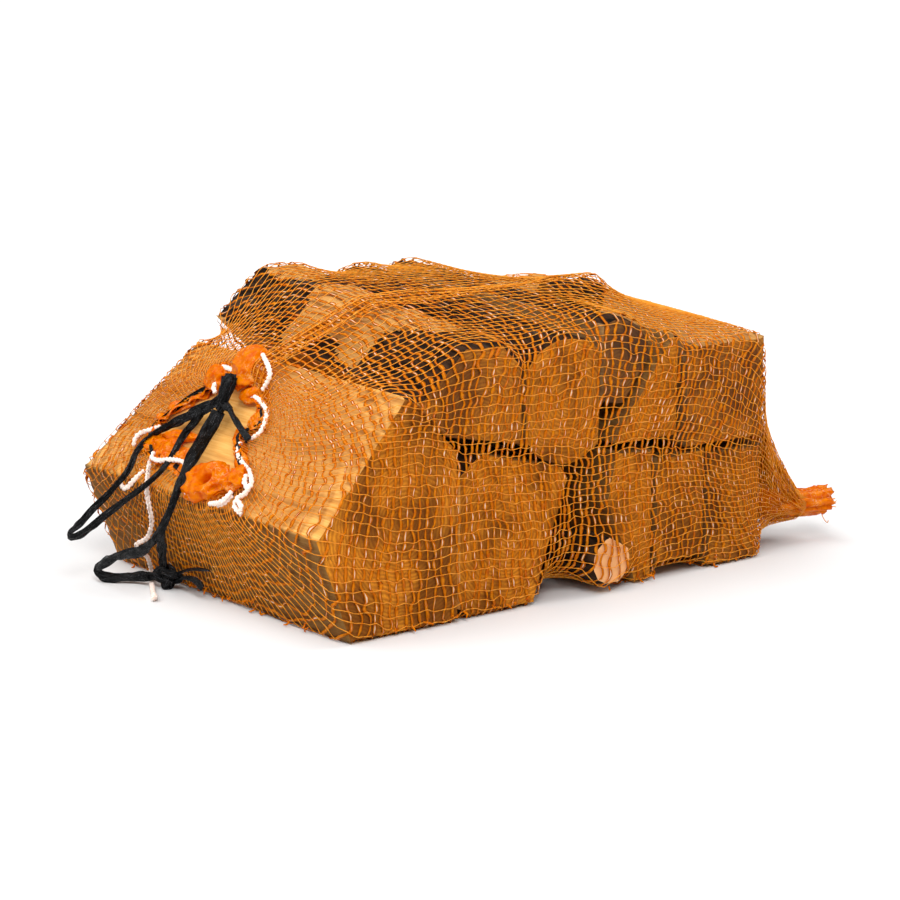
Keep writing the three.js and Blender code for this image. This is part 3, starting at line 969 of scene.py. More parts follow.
def between(grid: np.ndarray, rows: np.ndarray, columns: np.ndarray) -> np.ndarray:
    """Reads a grid between its points; its columns close on themselves.

    Args:
        grid: points by row and column.
        rows: where to read, counted in rows.
        columns: where to read, counted in columns.

    Returns:
        One point for each place.
    """
    rows = np.clip(rows, 0, len(grid) - 1.001)
    i, j = np.floor(rows).astype(int), np.floor(columns).astype(int)
    down, side = (rows - i)[..., None], (columns - j)[..., None]
    j, k = j % grid.shape[1], (j + 1) % grid.shape[1]
    near = grid[i, j] * (1 - down) + grid[i + 1, j] * down
    far = grid[i, k] * (1 - down) + grid[i + 1, k] * down
    return near * (1 - side) + far * side


@dataclass
class KnittedNet:
    """The knit itself: chain yarns from the mouth to the tail, and film tapes laid in between them."""

    skin: NetSkin
    rows: int = 122
    columns: int = 146
    tail_rows: int = 1
    mouth_rows: int = 17  # rows of the knit between the drawn ring and the first body row
    corner_rows: tuple[float, float] = (82.0, 69.0)  # the row at the end's corner, in front and at the back
    body_row: int = 126  # the grid's row along which the columns are even
    spread: np.ndarray = field(init=False)  # how many columns lie before each of the grid's
    hug: Drawing = Drawing(0.0, 0, 0.8, 1.0, FLOOR_GAP)  # how close the strands lie to the logs
    tape_wide: float = 2.3
    tape_fill: tuple[float, float] = (0.44, 0.55)  # the most of a row and of a column that it fills
    tape_pinch: float = 0.65  # how wide it is where a yarn grips it, as a share
    tape_crown: float = 0.2
    tape_bow: float = 0.4
    tape_twist: float = 0.45
    tape_sway: float = 0.25  # how far it sways from one yarn to the next, in rows
    yarn_half: float = 0.37
    yarn_fill: float = 0.13  # the most of a column that half a yarn fills
    yarn_lift: float = 0.7
    yarn_steps: int = 2  # sections in a row
    yarn_sway: float = 0.05  # in columns
    drift: tuple[float, float] = (1.4, 0.3)  # wide and close waves of the knit, in rows and columns
    loose: int = 170  # threads
    gathers: int = 22  # folds at the tail
    gather_row: float = 212.0  # the grid's row where they begin
    gather_depth: float = 1.0
    tail_tuck: float = 0.45  # how far the net is tucked into the bundle, as a share
    pleats: int = 34
    pleat_lift: float = 2.6
    pleat_rows: float = 18.0
    fold_turn: float = 97.0
    fold_columns: float = 7.0
    fold_pull: float = 2.2
    fold_lift: float = 2.0
    fold_rows: tuple[float, float] = (120.0, 184.0)  # where the fold begins to open, and is open
    tape_pieces: int = 4
    yarn_pieces: int = 2

    def folded(self, net: np.ndarray) -> np.ndarray:
        """Lays the fold that runs from the mouth along the top.

        Args:
            net: the tight grid.

        Returns:
            The grid with the columns beside the fold laid over each other.
        """
        columns = net.shape[1]
        middle = self.fold_turn / 360.0 * columns
        offset = (np.arange(columns) - middle + columns / 2) % columns - columns / 2
        near = np.exp(-(offset / self.fold_columns) ** 2)
        out = net_normals(net)
        folded = net.copy()
        for i in range(1, len(net)):
            fade = np.clip((self.fold_rows[1] - i) / (self.fold_rows[1] - self.fold_rows[0]), 0.0, 1.0)
            share = fade * min(1.0, i / 12.0)
            places = middle + offset * (1 - self.fold_pull * share * near)
            lift = share * self.fold_lift * near * (1 + 0.8 * np.tanh(offset / 3.0))
            folded[i] = read_curve(net[i], places % columns, True)
            folded[i] += read_curve(out[i], places % columns, True) * lift[:, None]
        return folded

    def pleated(self, net: np.ndarray) -> np.ndarray:
        """Raises pleats round the mouth, and keeps the grid off the logs."""
        i, j = np.meshgrid(np.arange(len(net)), np.arange(net.shape[1]), indexing="ij")
        turn = 2 * np.pi * j / net.shape[1]
        around = np.stack([3 * np.cos(turn), 3 * np.sin(turn), i / 18.0], axis=-1)
        fade = np.exp(-(i / self.pleat_rows) ** 2) * np.minimum(1.0, i / 4.0 + 0.2)
        wave = 0.5 + 0.5 * np.sin(self.pleats * turn + 2.5 * soft_noise(around, 7))
        raised = net + net_normals(net) * (self.pleat_lift * fade * wave)[..., None]
        return self.skin.pile.push_out(raised, self.skin.fine_tight)

    def gathered(self, net: np.ndarray) -> np.ndarray:
        """Folds the net in between the ridges of its end, to the bundle that becomes the tail."""
        i, j = np.meshgrid(np.arange(len(net)), np.arange(net.shape[1]), indexing="ij")
        root_row = (self.skin.rows - self.skin.tail_rows) * self.skin.fine_rows
        share = np.clip((i - self.gather_row) / (root_row - self.gather_row), 0.0, 1.0)
        turn = 2 * np.pi * j / net.shape[1]
        around = np.stack([3 * np.cos(turn), 3 * np.sin(turn), i / 40.0], axis=-1)
        ridge = 0.5 + 0.5 * np.cos(self.gathers * turn + 2.0 * soft_noise(around, 8))
        fold = self.gather_depth * share * (2 - share) * (1 - ridge)
        stops = (self.skin.tail_inside, self.skin.tail_root, self.skin.tail_tip)
        start, root, tip = (np.array(stop) for stop in stops)
        core = start + share[..., None] * (root - start)
        core = core + 7.0 * np.stack([0 * turn, np.cos(turn), np.sin(turn)], axis=-1)
        along = np.clip((i - root_row) / (len(net) - 1 - root_row), 0.0, 1.0)
        axis = root + along[..., None] * (tip - root)
        tail = net + (self.tail_tuck * np.minimum(1.0, 3 * along))[..., None] * (axis - net)
        return np.where((i > root_row)[..., None], tail, net + fold[..., None] * (core - net))

    def stray(self, rows: np.ndarray, columns: np.ndarray, seed: int) -> np.ndarray:
        """Gives how far the knit strays at its places, in cells."""
        turn = 2 * np.pi * columns / self.columns
        girth = self.columns / (2 * np.pi)
        around = np.stack([girth * np.cos(turn), girth * np.sin(turn), rows + 0 * turn], axis=-1)
        wide = self.drift[0] * soft_noise(around / 9.0, seed)
        close = self.drift[1] * soft_noise(around / 1.3, seed + 1)
        return (wide + close) * np.clip(np.minimum(rows, self.rows - self.tail_rows - rows) / 3.0, 0.0, 1.0)

    def grid_rows(self, rows: np.ndarray, grid_columns: np.ndarray) -> np.ndarray:
        """Turns places counted in the knit's rows into places counted in the grid's rows.

        Args:
            rows: the places along the knit's columns.
            grid_columns: the places along its rows, counted in the grid's columns.

        Returns:
            The places along the grid's columns; more rows lie over the far end where it is longer.
        """
        skin = self.skin
        stops = (skin.mouth_rows, skin.rows - skin.tail_rows - skin.end_rows, skin.rows)
        mouth, end, last = (count * skin.fine_rows for count in stops)
        turn = 2 * np.pi * grid_columns / skin.fine_columns
        longer = np.maximum(0.0, np.maximum(np.sin(turn), np.cos(turn)))
        corner = self.corner_rows[0] + (self.corner_rows[1] - self.corner_rows[0]) * longer
        first = rows * mouth / self.mouth_rows
        body = mouth + (rows - self.mouth_rows) * (end - mouth) / (corner - self.mouth_rows)
        far = end + (rows - corner) * (last - end) / (self.rows - corner)
        return np.where(rows < self.mouth_rows, first, np.where(rows < corner, body, far))

    def even_columns(self, net: np.ndarray) -> np.ndarray:
        """Gives how many of the knit's columns lie before each of the grid's, when they are even."""
        girth = net[self.body_row]
        steps = np.linalg.norm(np.roll(girth, -1, axis=0) - girth, axis=1)
        return np.concatenate([[0.0], np.cumsum(steps)]) * self.columns / steps.sum()

    def grid_columns(self, columns: np.ndarray) -> np.ndarray:
        """Turns places counted in the knit's columns into places counted in the grid's columns."""
        laps = np.floor(columns / self.columns)
        count = len(self.spread) - 1
        return laps * count + np.interp(columns - laps * self.columns, self.spread, np.arange(count + 1))

    def laid(self, net: np.ndarray, rows: np.ndarray, columns: np.ndarray) -> np.ndarray:
        """Reads the grid at places counted in the knit's own rows and columns, with its unevenness."""
        side = self.grid_columns(columns + self.stray(rows, columns, 5))
        return between(net, self.grid_rows(rows + self.stray(rows, columns, 3), side), side)

    def pitches(self, net: np.ndarray) -> np.ndarray:
        """Gives how far apart the knit's rows and its columns lie, at each point of the grid."""
        knit = np.arange(self.rows + 1)
        places = np.arange(len(net))
        steps = [np.interp(places, self.grid_rows(knit, j), knit) for j in range(net.shape[1])]
        down = np.linalg.norm(np.gradient(net, axis=0), axis=2) / np.gradient(steps, axis=1).T
        beside = np.roll(net, -1, axis=1) - np.roll(net, 1, axis=1)
        side = np.linalg.norm(beside, axis=2) * 0.5 / np.gradient(self.spread)[:-1]
        return np.stack([down, side], axis=2)

    def tapes(self, net: np.ndarray, out: np.ndarray, pitch: np.ndarray, rows: range) -> bpy.types.Object:
        """Builds the tapes of some rows, which step along each yarn and open out between two.

        Args:
            net: the finished grid.
            out: its outward directions.
            pitch: how far apart the rows and the columns lie.
            rows: which rows.

        Returns:
            The piece.
        """
        i, j = np.meshgrid(np.array(rows, float), np.arange(self.columns, dtype=float), indexing="ij")
        cells = np.stack([j, 3 * i, 0 * i], axis=-1).astype(np.int64)
        here = i + self.tape_sway * cell_noise(cells, 10)
        last = np.roll(here, 1, axis=1)
        down = np.stack([0.5 * last + 0.5 * here, 0.2 * last + 0.8 * here, here, here], axis=2)
        side = j[..., None] + np.array([0.0, 0.2, 0.45, 0.75])
        opened = np.broadcast_to(np.array([0.0, 0.6, 1.0, 0.7]), down.shape).reshape(len(rows), -1)
        down, side = down.reshape(len(rows), -1), side.reshape(len(rows), -1)
        line = self.skin.pile.push_out(self.laid(net, down, side), self.hug)
        normal = unit(self.laid(out, down, side))
        along = unit(np.roll(line, -1, axis=1) - np.roll(line, 1, axis=1))
        glint_chance, lean, uneven = (np.repeat(cell_noise(cells, seed), 4, axis=1) for seed in (11, 12, 13))
        twist = (self.tape_twist * opened * lean)[..., None]
        flat = np.cross(normal, along)
        across = flat * np.cos(twist) + normal * np.sin(twist)
        over = normal * np.cos(twist) - flat * np.sin(twist)
        room = np.min(self.laid(pitch, down, side) * self.tape_fill, axis=-1)
        wide = np.minimum(self.tape_wide, room) * (1 + 0.35 * uneven)
        half = 0.5 * (wide * (self.tape_pinch + (1 - self.tape_pinch) * opened))[..., None]
        line = line + normal * (0.1 + self.tape_bow * opened)[..., None]
        rings = np.stack([line + across * half, line + over * self.tape_crown, line - across * half], axis=2)
        rings[..., 2] = np.maximum(rings[..., 2], FLOOR_GAP / 2)
        faces = sweep_faces(len(rows), side.shape[1], 3, True)
        piece = mesh_piece(f"net_tapes_{rows.start}", rings.reshape(-1, 3), faces)
        # painted highlight: a pale glint along the crown of the tapes in some cells, brightest where they
        # open out
        none = np.full_like(glint_chance, -1.0)
        mark(piece, "tone_and_glint", np.stack([none, glint_chance * opened, none], axis=2).ravel())
        return piece

    def yarns(self, net: np.ndarray, out: np.ndarray, pitch: np.ndarray, columns: range) -> bpy.types.Object:
        """Builds the chain yarns of some columns, pulled to and fro by the tapes.

        Args:
            net: the finished grid.
            out: its outward directions.
            pitch: how far apart the rows and the columns lie.
            columns: which columns.

        Returns:
            The piece.
        """
        count = (self.rows - self.tail_rows) * self.yarn_steps + 1
        j, row = np.meshgrid(np.array(columns, float), np.arange(count) / self.yarn_steps, indexing="ij")
        side = j + self.yarn_sway * np.cos(np.pi * (row + j))
        line = self.skin.pile.push_out(self.laid(net, row, side), self.hug)
        normal = unit(self.laid(out, row, side))
        along = unit(np.gradient(line, axis=1))
        beside = np.cross(along, normal)
        room = self.yarn_fill * self.laid(pitch, row, side)[..., 1]
        half = np.clip(room, 0.25, self.yarn_half) * (0.9 + 0.25 * np.cos(2 * np.pi * row))
        half = half[..., None]
        middle = line + normal * self.yarn_lift
        corners = []
        for angle in np.radians([90.0, 210.0, 330.0]):
            corners.append(middle + half * (normal * np.sin(angle) - beside * np.cos(angle)))
        rings = np.stack(corners, axis=2)
        rings[..., 2] = np.maximum(rings[..., 2], FLOOR_GAP / 2)
        faces = sweep_faces(len(columns), count, 3, False)
        return mesh_piece(f"net_yarns_{columns.start}", rings.reshape(-1, 3), faces)

    def loose_threads(self, net: np.ndarray, out: np.ndarray) -> bpy.types.Object:
        """Builds the short loose loops of tape along the sack's lower edges."""
        random = np.random.default_rng(11)
        low = np.argwhere((net[..., 2] < 8.0) & (out[..., 2] < 0.3) & (out[..., 2] > -0.95))
        form = Raffia((0.9, 1.5, 0.8), 0.6, 0.2, sides=5)
        parts = []
        for place in random.choice(len(low), self.loose, replace=False):
            i, j = low[place]
            root, away = net[i, j] + out[i, j], unit(random.normal(0, 1, 3))
            bend = root + random.uniform(1.0, 2.5) * out[i, j] + random.uniform(1.0, 3.0) * away
            tip = bend + random.uniform(1.0, 3.5) * unit(random.normal(0, 1, 3))
            route = np.stack([root, bend, tip])
            route[:, 2] = np.maximum(route[:, 2], 1.0)
            parts.append(form.sweep(even_line(route, 1.0))[:2])
        return mesh_piece("net_loose_threads", *joined(parts))

    def build(self, film: bpy.types.Material, thread: bpy.types.Material) -> None:
        """Builds the tapes of film and the chain yarns, in pieces of a size that can be handled.

        Args:
            film: the tapes' finish.
            thread: the yarns' finish.
        """
        tight = self.skin.fine()
        self.spread = self.even_columns(tight)
        out = net_normals(tight)
        net = self.gathered(self.pleated(self.folded(tight)))
        pitch = self.pitches(net)
        bounds = np.linspace(0, self.rows - self.tail_rows, self.tape_pieces + 1).astype(int)
        for a, b in zip(bounds[:-1], bounds[1:]):
            piece = dress(self.tapes(net, out, pitch, range(a, b)), Slot.NET, film)
            if a == 0:
                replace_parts(piece, "filled_net")
        halves = np.linspace(0, self.columns, self.yarn_pieces + 1).astype(int)
        for a, b in zip(halves[:-1], halves[1:]):
            dress(self.yarns(net, out, pitch, range(a, b)), Slot.NET, thread)
        dress(self.loose_threads(net, out), Slot.NET, film)


@dataclass(frozen=True)
class Raffia:
    """Crumpled flat film string, or a bumpy yarn: a section that changes along a line."""

    widths: tuple[float, ...]  # at even places along it
    thick: float = 1.5
    crease: float = 1.2  # how high the creases stand
    crease_wide: float = 1.0  # how far apart they are
    crease_long: float = 6.5
    twist: float = 0.9
    bump: float = 0.0  # how much thicker a yarn's loops are
    bump_long: float = 3.4
    seed: int = 1
    sides: int = 26

    def sweep(self, line: np.ndarray) -> tuple[np.ndarray, list[np.ndarray], np.ndarray]:
        """Sweeps the section along a line, with its flat side to the front.

        Args:
            line: even points.

        Returns:
            Its points, its faces, and each point's place in the section and along the line.
        """
        run = np.concatenate([[0.0], np.cumsum(np.linalg.norm(np.diff(line, axis=0), axis=1))])
        share = run / run[-1] * (len(self.widths) - 1)
        swell = 1 + self.bump * np.sin(2 * np.pi * run / self.bump_long)
        wide = np.interp(share, np.arange(len(self.widths)), self.widths) * swell
        angle = 2 * np.pi * np.arange(self.sides) / self.sides
        spread = 0.5 * wide[:, None] * np.cos(angle)
        folds = np.broadcast_arrays(spread / self.crease_wide, run[:, None] / self.crease_long, 0.0)
        rise = 0.5 * self.thick * swell[:, None] * np.sin(angle)
        rise = rise + self.crease * soft_noise(np.stack(folds, axis=-1), self.seed)
        along = unit(np.gradient(line, axis=0))
        first = unit(np.cross(FRONT, along))
        second = np.cross(along, first)
        places = np.stack([run / 24.0, 0 * run, 0 * run], axis=-1)
        turn = self.twist * soft_noise(places, self.seed + 2)[:, None]
        flat = first * np.cos(turn) + second * np.sin(turn)
        over = second * np.cos(turn) - first * np.sin(turn)
        rings = line[:, None] + spread[..., None] * flat[:, None] + rise[..., None] * over[:, None]
        rings[..., 2] = np.maximum(rings[..., 2], 0.2)
        marks = np.stack(np.broadcast_arrays(spread, rise, run[:, None]), axis=-1)
        return rings.reshape(-1, 3), sweep_faces(1, len(line), self.sides, False), marks.reshape(-1, 3)


@dataclass
class Strand:
    """A stretch of string or yarn that the part has as a solid, along a given route."""

    node: str
    route: tuple
    wide: float  # in the part
    form: Raffia
    far_end: str
    lay: str = "hanging"
    step: float = 1.2
    tips: tuple = ()  # how far aside the tips of a frayed end lie
    tip_power: float = 2.0  # how late they part

    def build(self, material: bpy.types.Material, slot: Slot) -> bpy.types.Object:
        """Args:
            material: its finish.
            slot: the record's slot of the finish.

        Returns:
            The dressed piece.
        """
        line = even_line(np.array(self.route, float), self.step)
        points, faces, marks = self.form.sweep(line)
        parts, places = [(points, faces)], [marks]
        for aside in self.tips:
            share = np.linspace(0, 1, len(line))[:, None] ** self.tip_power
            tip_points, tip_faces, tip_marks = self.form.sweep(line + share * np.array(aside))
            parts.append((tip_points, tip_faces))
            places.append(tip_marks)
        piece = mesh_piece(f"{self.node}_strand", *joined(parts))
        mark(piece, "run", np.concatenate(places))
        dress(piece, slot, material)
        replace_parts(piece, self.node)
        return piece


@dataclass
class Drawstring:
    """The black raffia string: a bunch at the top of the mouth, loops, a bow, a knot and frayed ends."""

    skin: NetSkin
    string_wide: float = 5.0
    end_wide: float = 2.4
    yarn_wide: float = 3.2
    bunch_spread: float = 5.0
    bow_link: tuple = (-211.5, 20.0, 50.0)  # on the way from the leg to the bow
    loop_link: tuple = (-175.5, 37.0, 111.5)  # on the way from the loop's end back to its start
    knot_place: tuple = (-190.0, 51.0, 7.3)
    knot_reach: tuple = (2.4, 3.2, 1.8)
    bunch: tuple = ((-160, 18, 141), (-163, 16.5, 135.5), (-165, 17, 130.5), (-167.5, 17.5, 125.5))
    loop: tuple = (
        (-168.5, 27.5, 123), (-170.5, 36.5, 119), (-173, 47, 114), (-177, 59, 107.5), (-182.5, 70, 101),
        (-188.5, 78.5, 93.5), (-195, 79, 87), (-202.5, 74, 79.5), (-210, 73, 72), (-217, 78.5, 62),
        (-225, 85, 52), (-232, 88.5, 43.5), (-238, 91.5, 37.5), (-240, 89.5, 34.5), (-237, 84, 36),
        (-232, 78, 41.5), (-225, 70.5, 50), (-219, 62.5, 57.5), (-213, 48.5, 68.5), (-206.5, 40, 77),
        (-197.5, 40, 84), (-190, 40.5, 91.5), (-183.5, 41.5, 100), (-179, 40.5, 106),
    )
    leg: tuple = (
        (-169, 18.5, 120.5), (-173, 18.5, 114), (-178.5, 19.5, 106), (-184, 19, 99), (-191, 16.5, 92.5),
        (-198, 14, 85.5), (-205.5, 9.5, 76.5), (-210, 11, 64.5), (-209, 20.5, 52), (-206, 30, 40.5),
        (-201, 39, 30), (-196, 46.5, 20.5), (-193.5, 49.5, 16),
    )
    bow: tuple = (
        (-212, 28.5, 40.5), (-212.5, 36.5, 35), (-213, 46, 29.5), (-215, 55.5, 26.5), (-216, 68.5, 22.5),
        (-217, 80, 17.5), (-218, 89, 12.5), (-218, 95, 8), (-217, 91.5, 5), (-212.5, 88, 3),
        (-206.5, 83.5, 3), (-202, 78.5, 4), (-199, 72, 5.5), (-197, 64, 6.5),
    )
    turn: tuple = (
        (-168, 7, 123.5), (-169.5, 0, 120), (-171, -7.5, 116.5), (-172, -15, 112.5), (-173, -22, 109),
    )
    yarn: tuple = (
        (-191, 61.5, 89), (-195, 61.5, 84), (-199.5, 56.5, 79), (-204, 50.5, 73.5), (-206, 47.5, 67),
        (-206, 45.5, 59.5), (-204, 46.5, 51.5), (-202, 50, 43.5), (-202, 56, 35), (-204, 64.5, 30),
        (-204, 66.5, 27), (-199, 68, 22.5), (-193, 71.5, 17), (-190, 74, 12), (-188, 76, 7),
        (-188.5, 75.5, 2.5), (-195, 63.5, 2), (-204.5, 46, 2), (-213.5, 28.5, 2),
    )
    ends: tuple = (
        ((-188, 41.5, 12), (-188, 29, 17), (-187.5, 16, 20), (-187, 4, 21.5)),
        ((-188, 40.5, 9), (-188, 29, 11.5), (-188, 19.5, 11.5), (-188.5, 10.5, 9.5)),
    )

    end_tips: tuple = ((0.3, 1.0, 1.6), (-0.3, 0.3, -1.6), (0.0, -1.0, 0.6))
    yarn_tips: tuple = ((1.2, 0.4, 0.4), (-1.2, -0.6, 0.2), (0.3, 1.0, 1.0))

    def strands(self) -> list[Strand]:
        """Lists the string's stretches, with their widths along them."""
        wide, thin = self.string_wide, self.end_wide
        loop = Raffia((9, 8.6, 7, 5, 4.2, 4, 4, 4.5, 5.5, 6.8, 6, 5, 4.2, 3.8, 3.6, 4, 5), seed=21)
        leg = Raffia((9, 9.5, 9.5, 8.5, 7, 5, 4.4, 4, 6, 7, 5, 6), seed=31)
        bow = Raffia((6, 7, 7.5, 7, 7, 7.8, 7.5, 7, 7), seed=41)
        turn = Raffia((3.6, 4, 4.8, 5.5), thick=1.3, seed=51)
        frayed = Raffia((2.4, 2.2, 2.6, 1.6), thick=0.8, crease=0.4, seed=61)
        split = Raffia((2.2, 2.2, 2.8, 3.6, 2.6), thick=0.8, crease=0.5, seed=71)
        return [
            Strand("drawstring_loop", self.loop, wide, loop, "object"),
            Strand("drawstring_leg", self.leg, wide, leg, "knot"),
            Strand("drawstring_bow", self.bow, wide, bow, "knot"),
            Strand("drawstring_turn", self.turn, wide, turn, "object"),
            Strand("drawstring_end_1", self.ends[0], thin, frayed, "bare"),
            Strand("drawstring_end_2", self.ends[1], thin, split, "bare", tips=self.end_tips),
        ]

    def build(self, raffia: bpy.types.Material, white: bpy.types.Material) -> None:
        """Builds the strands, the bunch, the knot and the edging yarn.

        Args:
            raffia: the string's finish.
            white: the edging yarn's finish.
        """
        for strand in self.strands():
            strand.build(raffia, Slot.RAFFIA)
        looped = Raffia((2.6, 3.2, 3.0, 2.8, 3.2, 3.0), 2.3, 0.5, 1.4, 2.0, 0.4, 0.2, seed=81, sides=10)
        Strand("edging_yarn", self.yarn, self.yarn_wide, looped, "bare", "hanging", 0.8, self.yarn_tips,
               24.0).build(white, Slot.YARN)
        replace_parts(self.build_bunch(raffia), "drawstring_bunch")
        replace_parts(self.build_knot(raffia), "drawstring_knot")
        self.build_ring(raffia)

    def build_bunch(self, material: bpy.types.Material) -> bpy.types.Object:
        """Builds the bunch: strands drawn together, which part to the loop, the leg and the turn."""
        top, waist = np.array(self.bunch[0], float), np.array(self.bunch[2], float)
        loop, leg = self.loop[0], self.leg[0]
        feet = [loop, leg, loop, leg, leg, loop, self.turn[0]]
        parts, marks = [], []
        for k, foot in enumerate(feet):
            angle = 2 * np.pi * k / len(feet)
            aside = np.array([0.4 * np.sin(angle), np.cos(angle), 0.5 * np.sin(angle)])
            spread = self.bunch_spread * aside
            route = np.stack([top + spread, waist + 0.6 * spread, foot + aside])
            form = Raffia((6.0, 5.4, 5.0, 6.0), seed=101 + 7 * k)
            points, faces, places = form.sweep(even_line(route, 1.0))
            parts.append((points, faces))
            marks.append(places)
        for k, link in enumerate([[self.leg[7], self.bow_link, self.bow[0]],
                                  [self.loop[-1], self.loop_link, self.loop[1]]]):
            form = Raffia((4.5, 5.5, 6.0), seed=161 + k)
            points, faces, places = form.sweep(even_line(np.array(link, float), 1.0))
            parts.append((points, faces))
            marks.append(places)
        piece = mesh_piece("drawstring_bunch_strands", *joined(parts))
        mark(piece, "run", np.concatenate(marks))
        return dress(piece, Slot.RAFFIA, material)

    def build_knot(self, material: bpy.types.Material) -> bpy.types.Object:
        """Builds the knot: a strand wound through itself."""
        t = np.linspace(0, 2 * np.pi, 131)
        wound = [-1.5 * np.sin(3 * t), np.sin(t) + 2 * np.sin(2 * t), 0.47 + np.cos(t) - 2 * np.cos(2 * t)]
        line = np.array(self.knot_place) + np.stack(wound, axis=1) * self.knot_reach
        points, faces, marks = Raffia((7.0, 6.0, 7.6, 6.4, 7.0), thick=2.4, seed=131).sweep(line)
        parts, places = [(points, faces)], [marks]
        for k, start in enumerate([self.bow[-1], self.leg[-1]]):
            route = np.array([start, self.knot_place], float)
            form = Raffia((6.5, 7.0), thick=2.0, seed=171 + k)
            points, faces, marks = form.sweep(even_line(route, 1.0))
            parts.append((points, faces))
            places.append(marks)
        piece = mesh_piece("drawstring_knot_wound", *joined(parts))
        mark(piece, "run", np.concatenate(places))
        return dress(piece, Slot.RAFFIA, material)

    def build_ring(self, material: bpy.types.Material) -> bpy.types.Object:
        """Builds the string in the hem, from the bunch round the ring and back."""
        ring = np.roll(self.skin.drawn_ring(150, 3.4), -36, axis=0)
        sway = soft_noise(np.stack([np.arange(150) / 9.0, np.zeros(150), np.zeros(150)], axis=1), 141)
        line = even_line(ring + (1.6 * sway)[:, None] * OFF_FACE, 1.5)
        points, faces, marks = Raffia((3.6, 4.4, 3.4, 4.2, 3.6, 4.4), thick=1.2, seed=151).sweep(line)
        piece = mesh_piece("drawstring_in_hem", points, faces)
        mark(piece, "run", marks)
        return dress(piece, Slot.RAFFIA, material)


@dataclass(frozen=True)
class Puff:
    """A crumpled bag of the hem's film on the mouth's log face, or a ring rolled of it."""

    middle: tuple[float, float, float]  # offsets along Y, up the face and off it
    reach: tuple[float, float, float]  # half sizes along the same
    lean: float = 0.0  # turn on the face, in degrees
    hole: float = 0.0  # share of a rolled ring that is open
    crumple: float = 0.2
    seed: int = 1
    around: int = 96
    across: int = 42

    def shape(self) -> tuple[np.ndarray, list[np.ndarray]]:
        """Gives the plain bag or ring, one unit in reach."""
        turn = 2 * np.pi * np.arange(self.around) / self.around
        if self.hole:
            tube = 2 * np.pi * np.arange(self.across) / self.across
            off = 0.5 * (1 + self.hole) + 0.5 * (1 - self.hole) * np.sin(tube)
            wide, high = np.cos(turn)[:, None] * off, np.sin(turn)[:, None] * off
            parts = np.broadcast_arrays(wide, high, np.cos(tube))
            return np.stack(parts, axis=-1).reshape(-1, 3), sweep_faces(1, self.around, self.across, True)
        tilt = np.linspace(-0.5, 0.5, self.across + 2)[1:-1, None] * np.pi
        parts = np.broadcast_arrays(np.cos(tilt) * np.cos(turn), np.cos(tilt) * np.sin(turn), np.sin(tilt))
        return np.stack(parts, axis=-1).reshape(-1, 3), sweep_faces(1, self.across, self.around, False)

    def mesh(self) -> tuple[np.ndarray, list[np.ndarray]]:
        """Gives the crumpled puff in its place, as points and faces."""
        plain, faces = self.shape()
        ridge = 0.5 - np.abs(soft_noise(plain * 1.7 + self.seed, self.seed)) * 1.6
        pulled = plain * [1.0, 0.45, 1.0]  # its creases run towards the drawn ring
        ridge = ridge + 0.3 * (0.4 - np.abs(soft_noise(pulled * 6.0 + self.seed, self.seed + 1)))
        ridge = ridge + 0.06 * (0.4 - np.abs(soft_noise(pulled * 14.0 + self.seed, self.seed + 2)))
        body = plain * (1 + self.crumple * ridge)[:, None] * np.array(self.reach)
        cos, sin = np.cos(np.radians(self.lean)), np.sin(np.radians(self.lean))
        wide, high = body[:, 0] * cos - body[:, 1] * sin, body[:, 0] * sin + body[:, 1] * cos
        places = np.stack([wide, high, body[:, 2]], axis=1) + np.array(self.middle)
        places[:, 2] = np.maximum(places[:, 2], 0.5)
        return on_face(places), [face[:, ::-1] for face in faces]


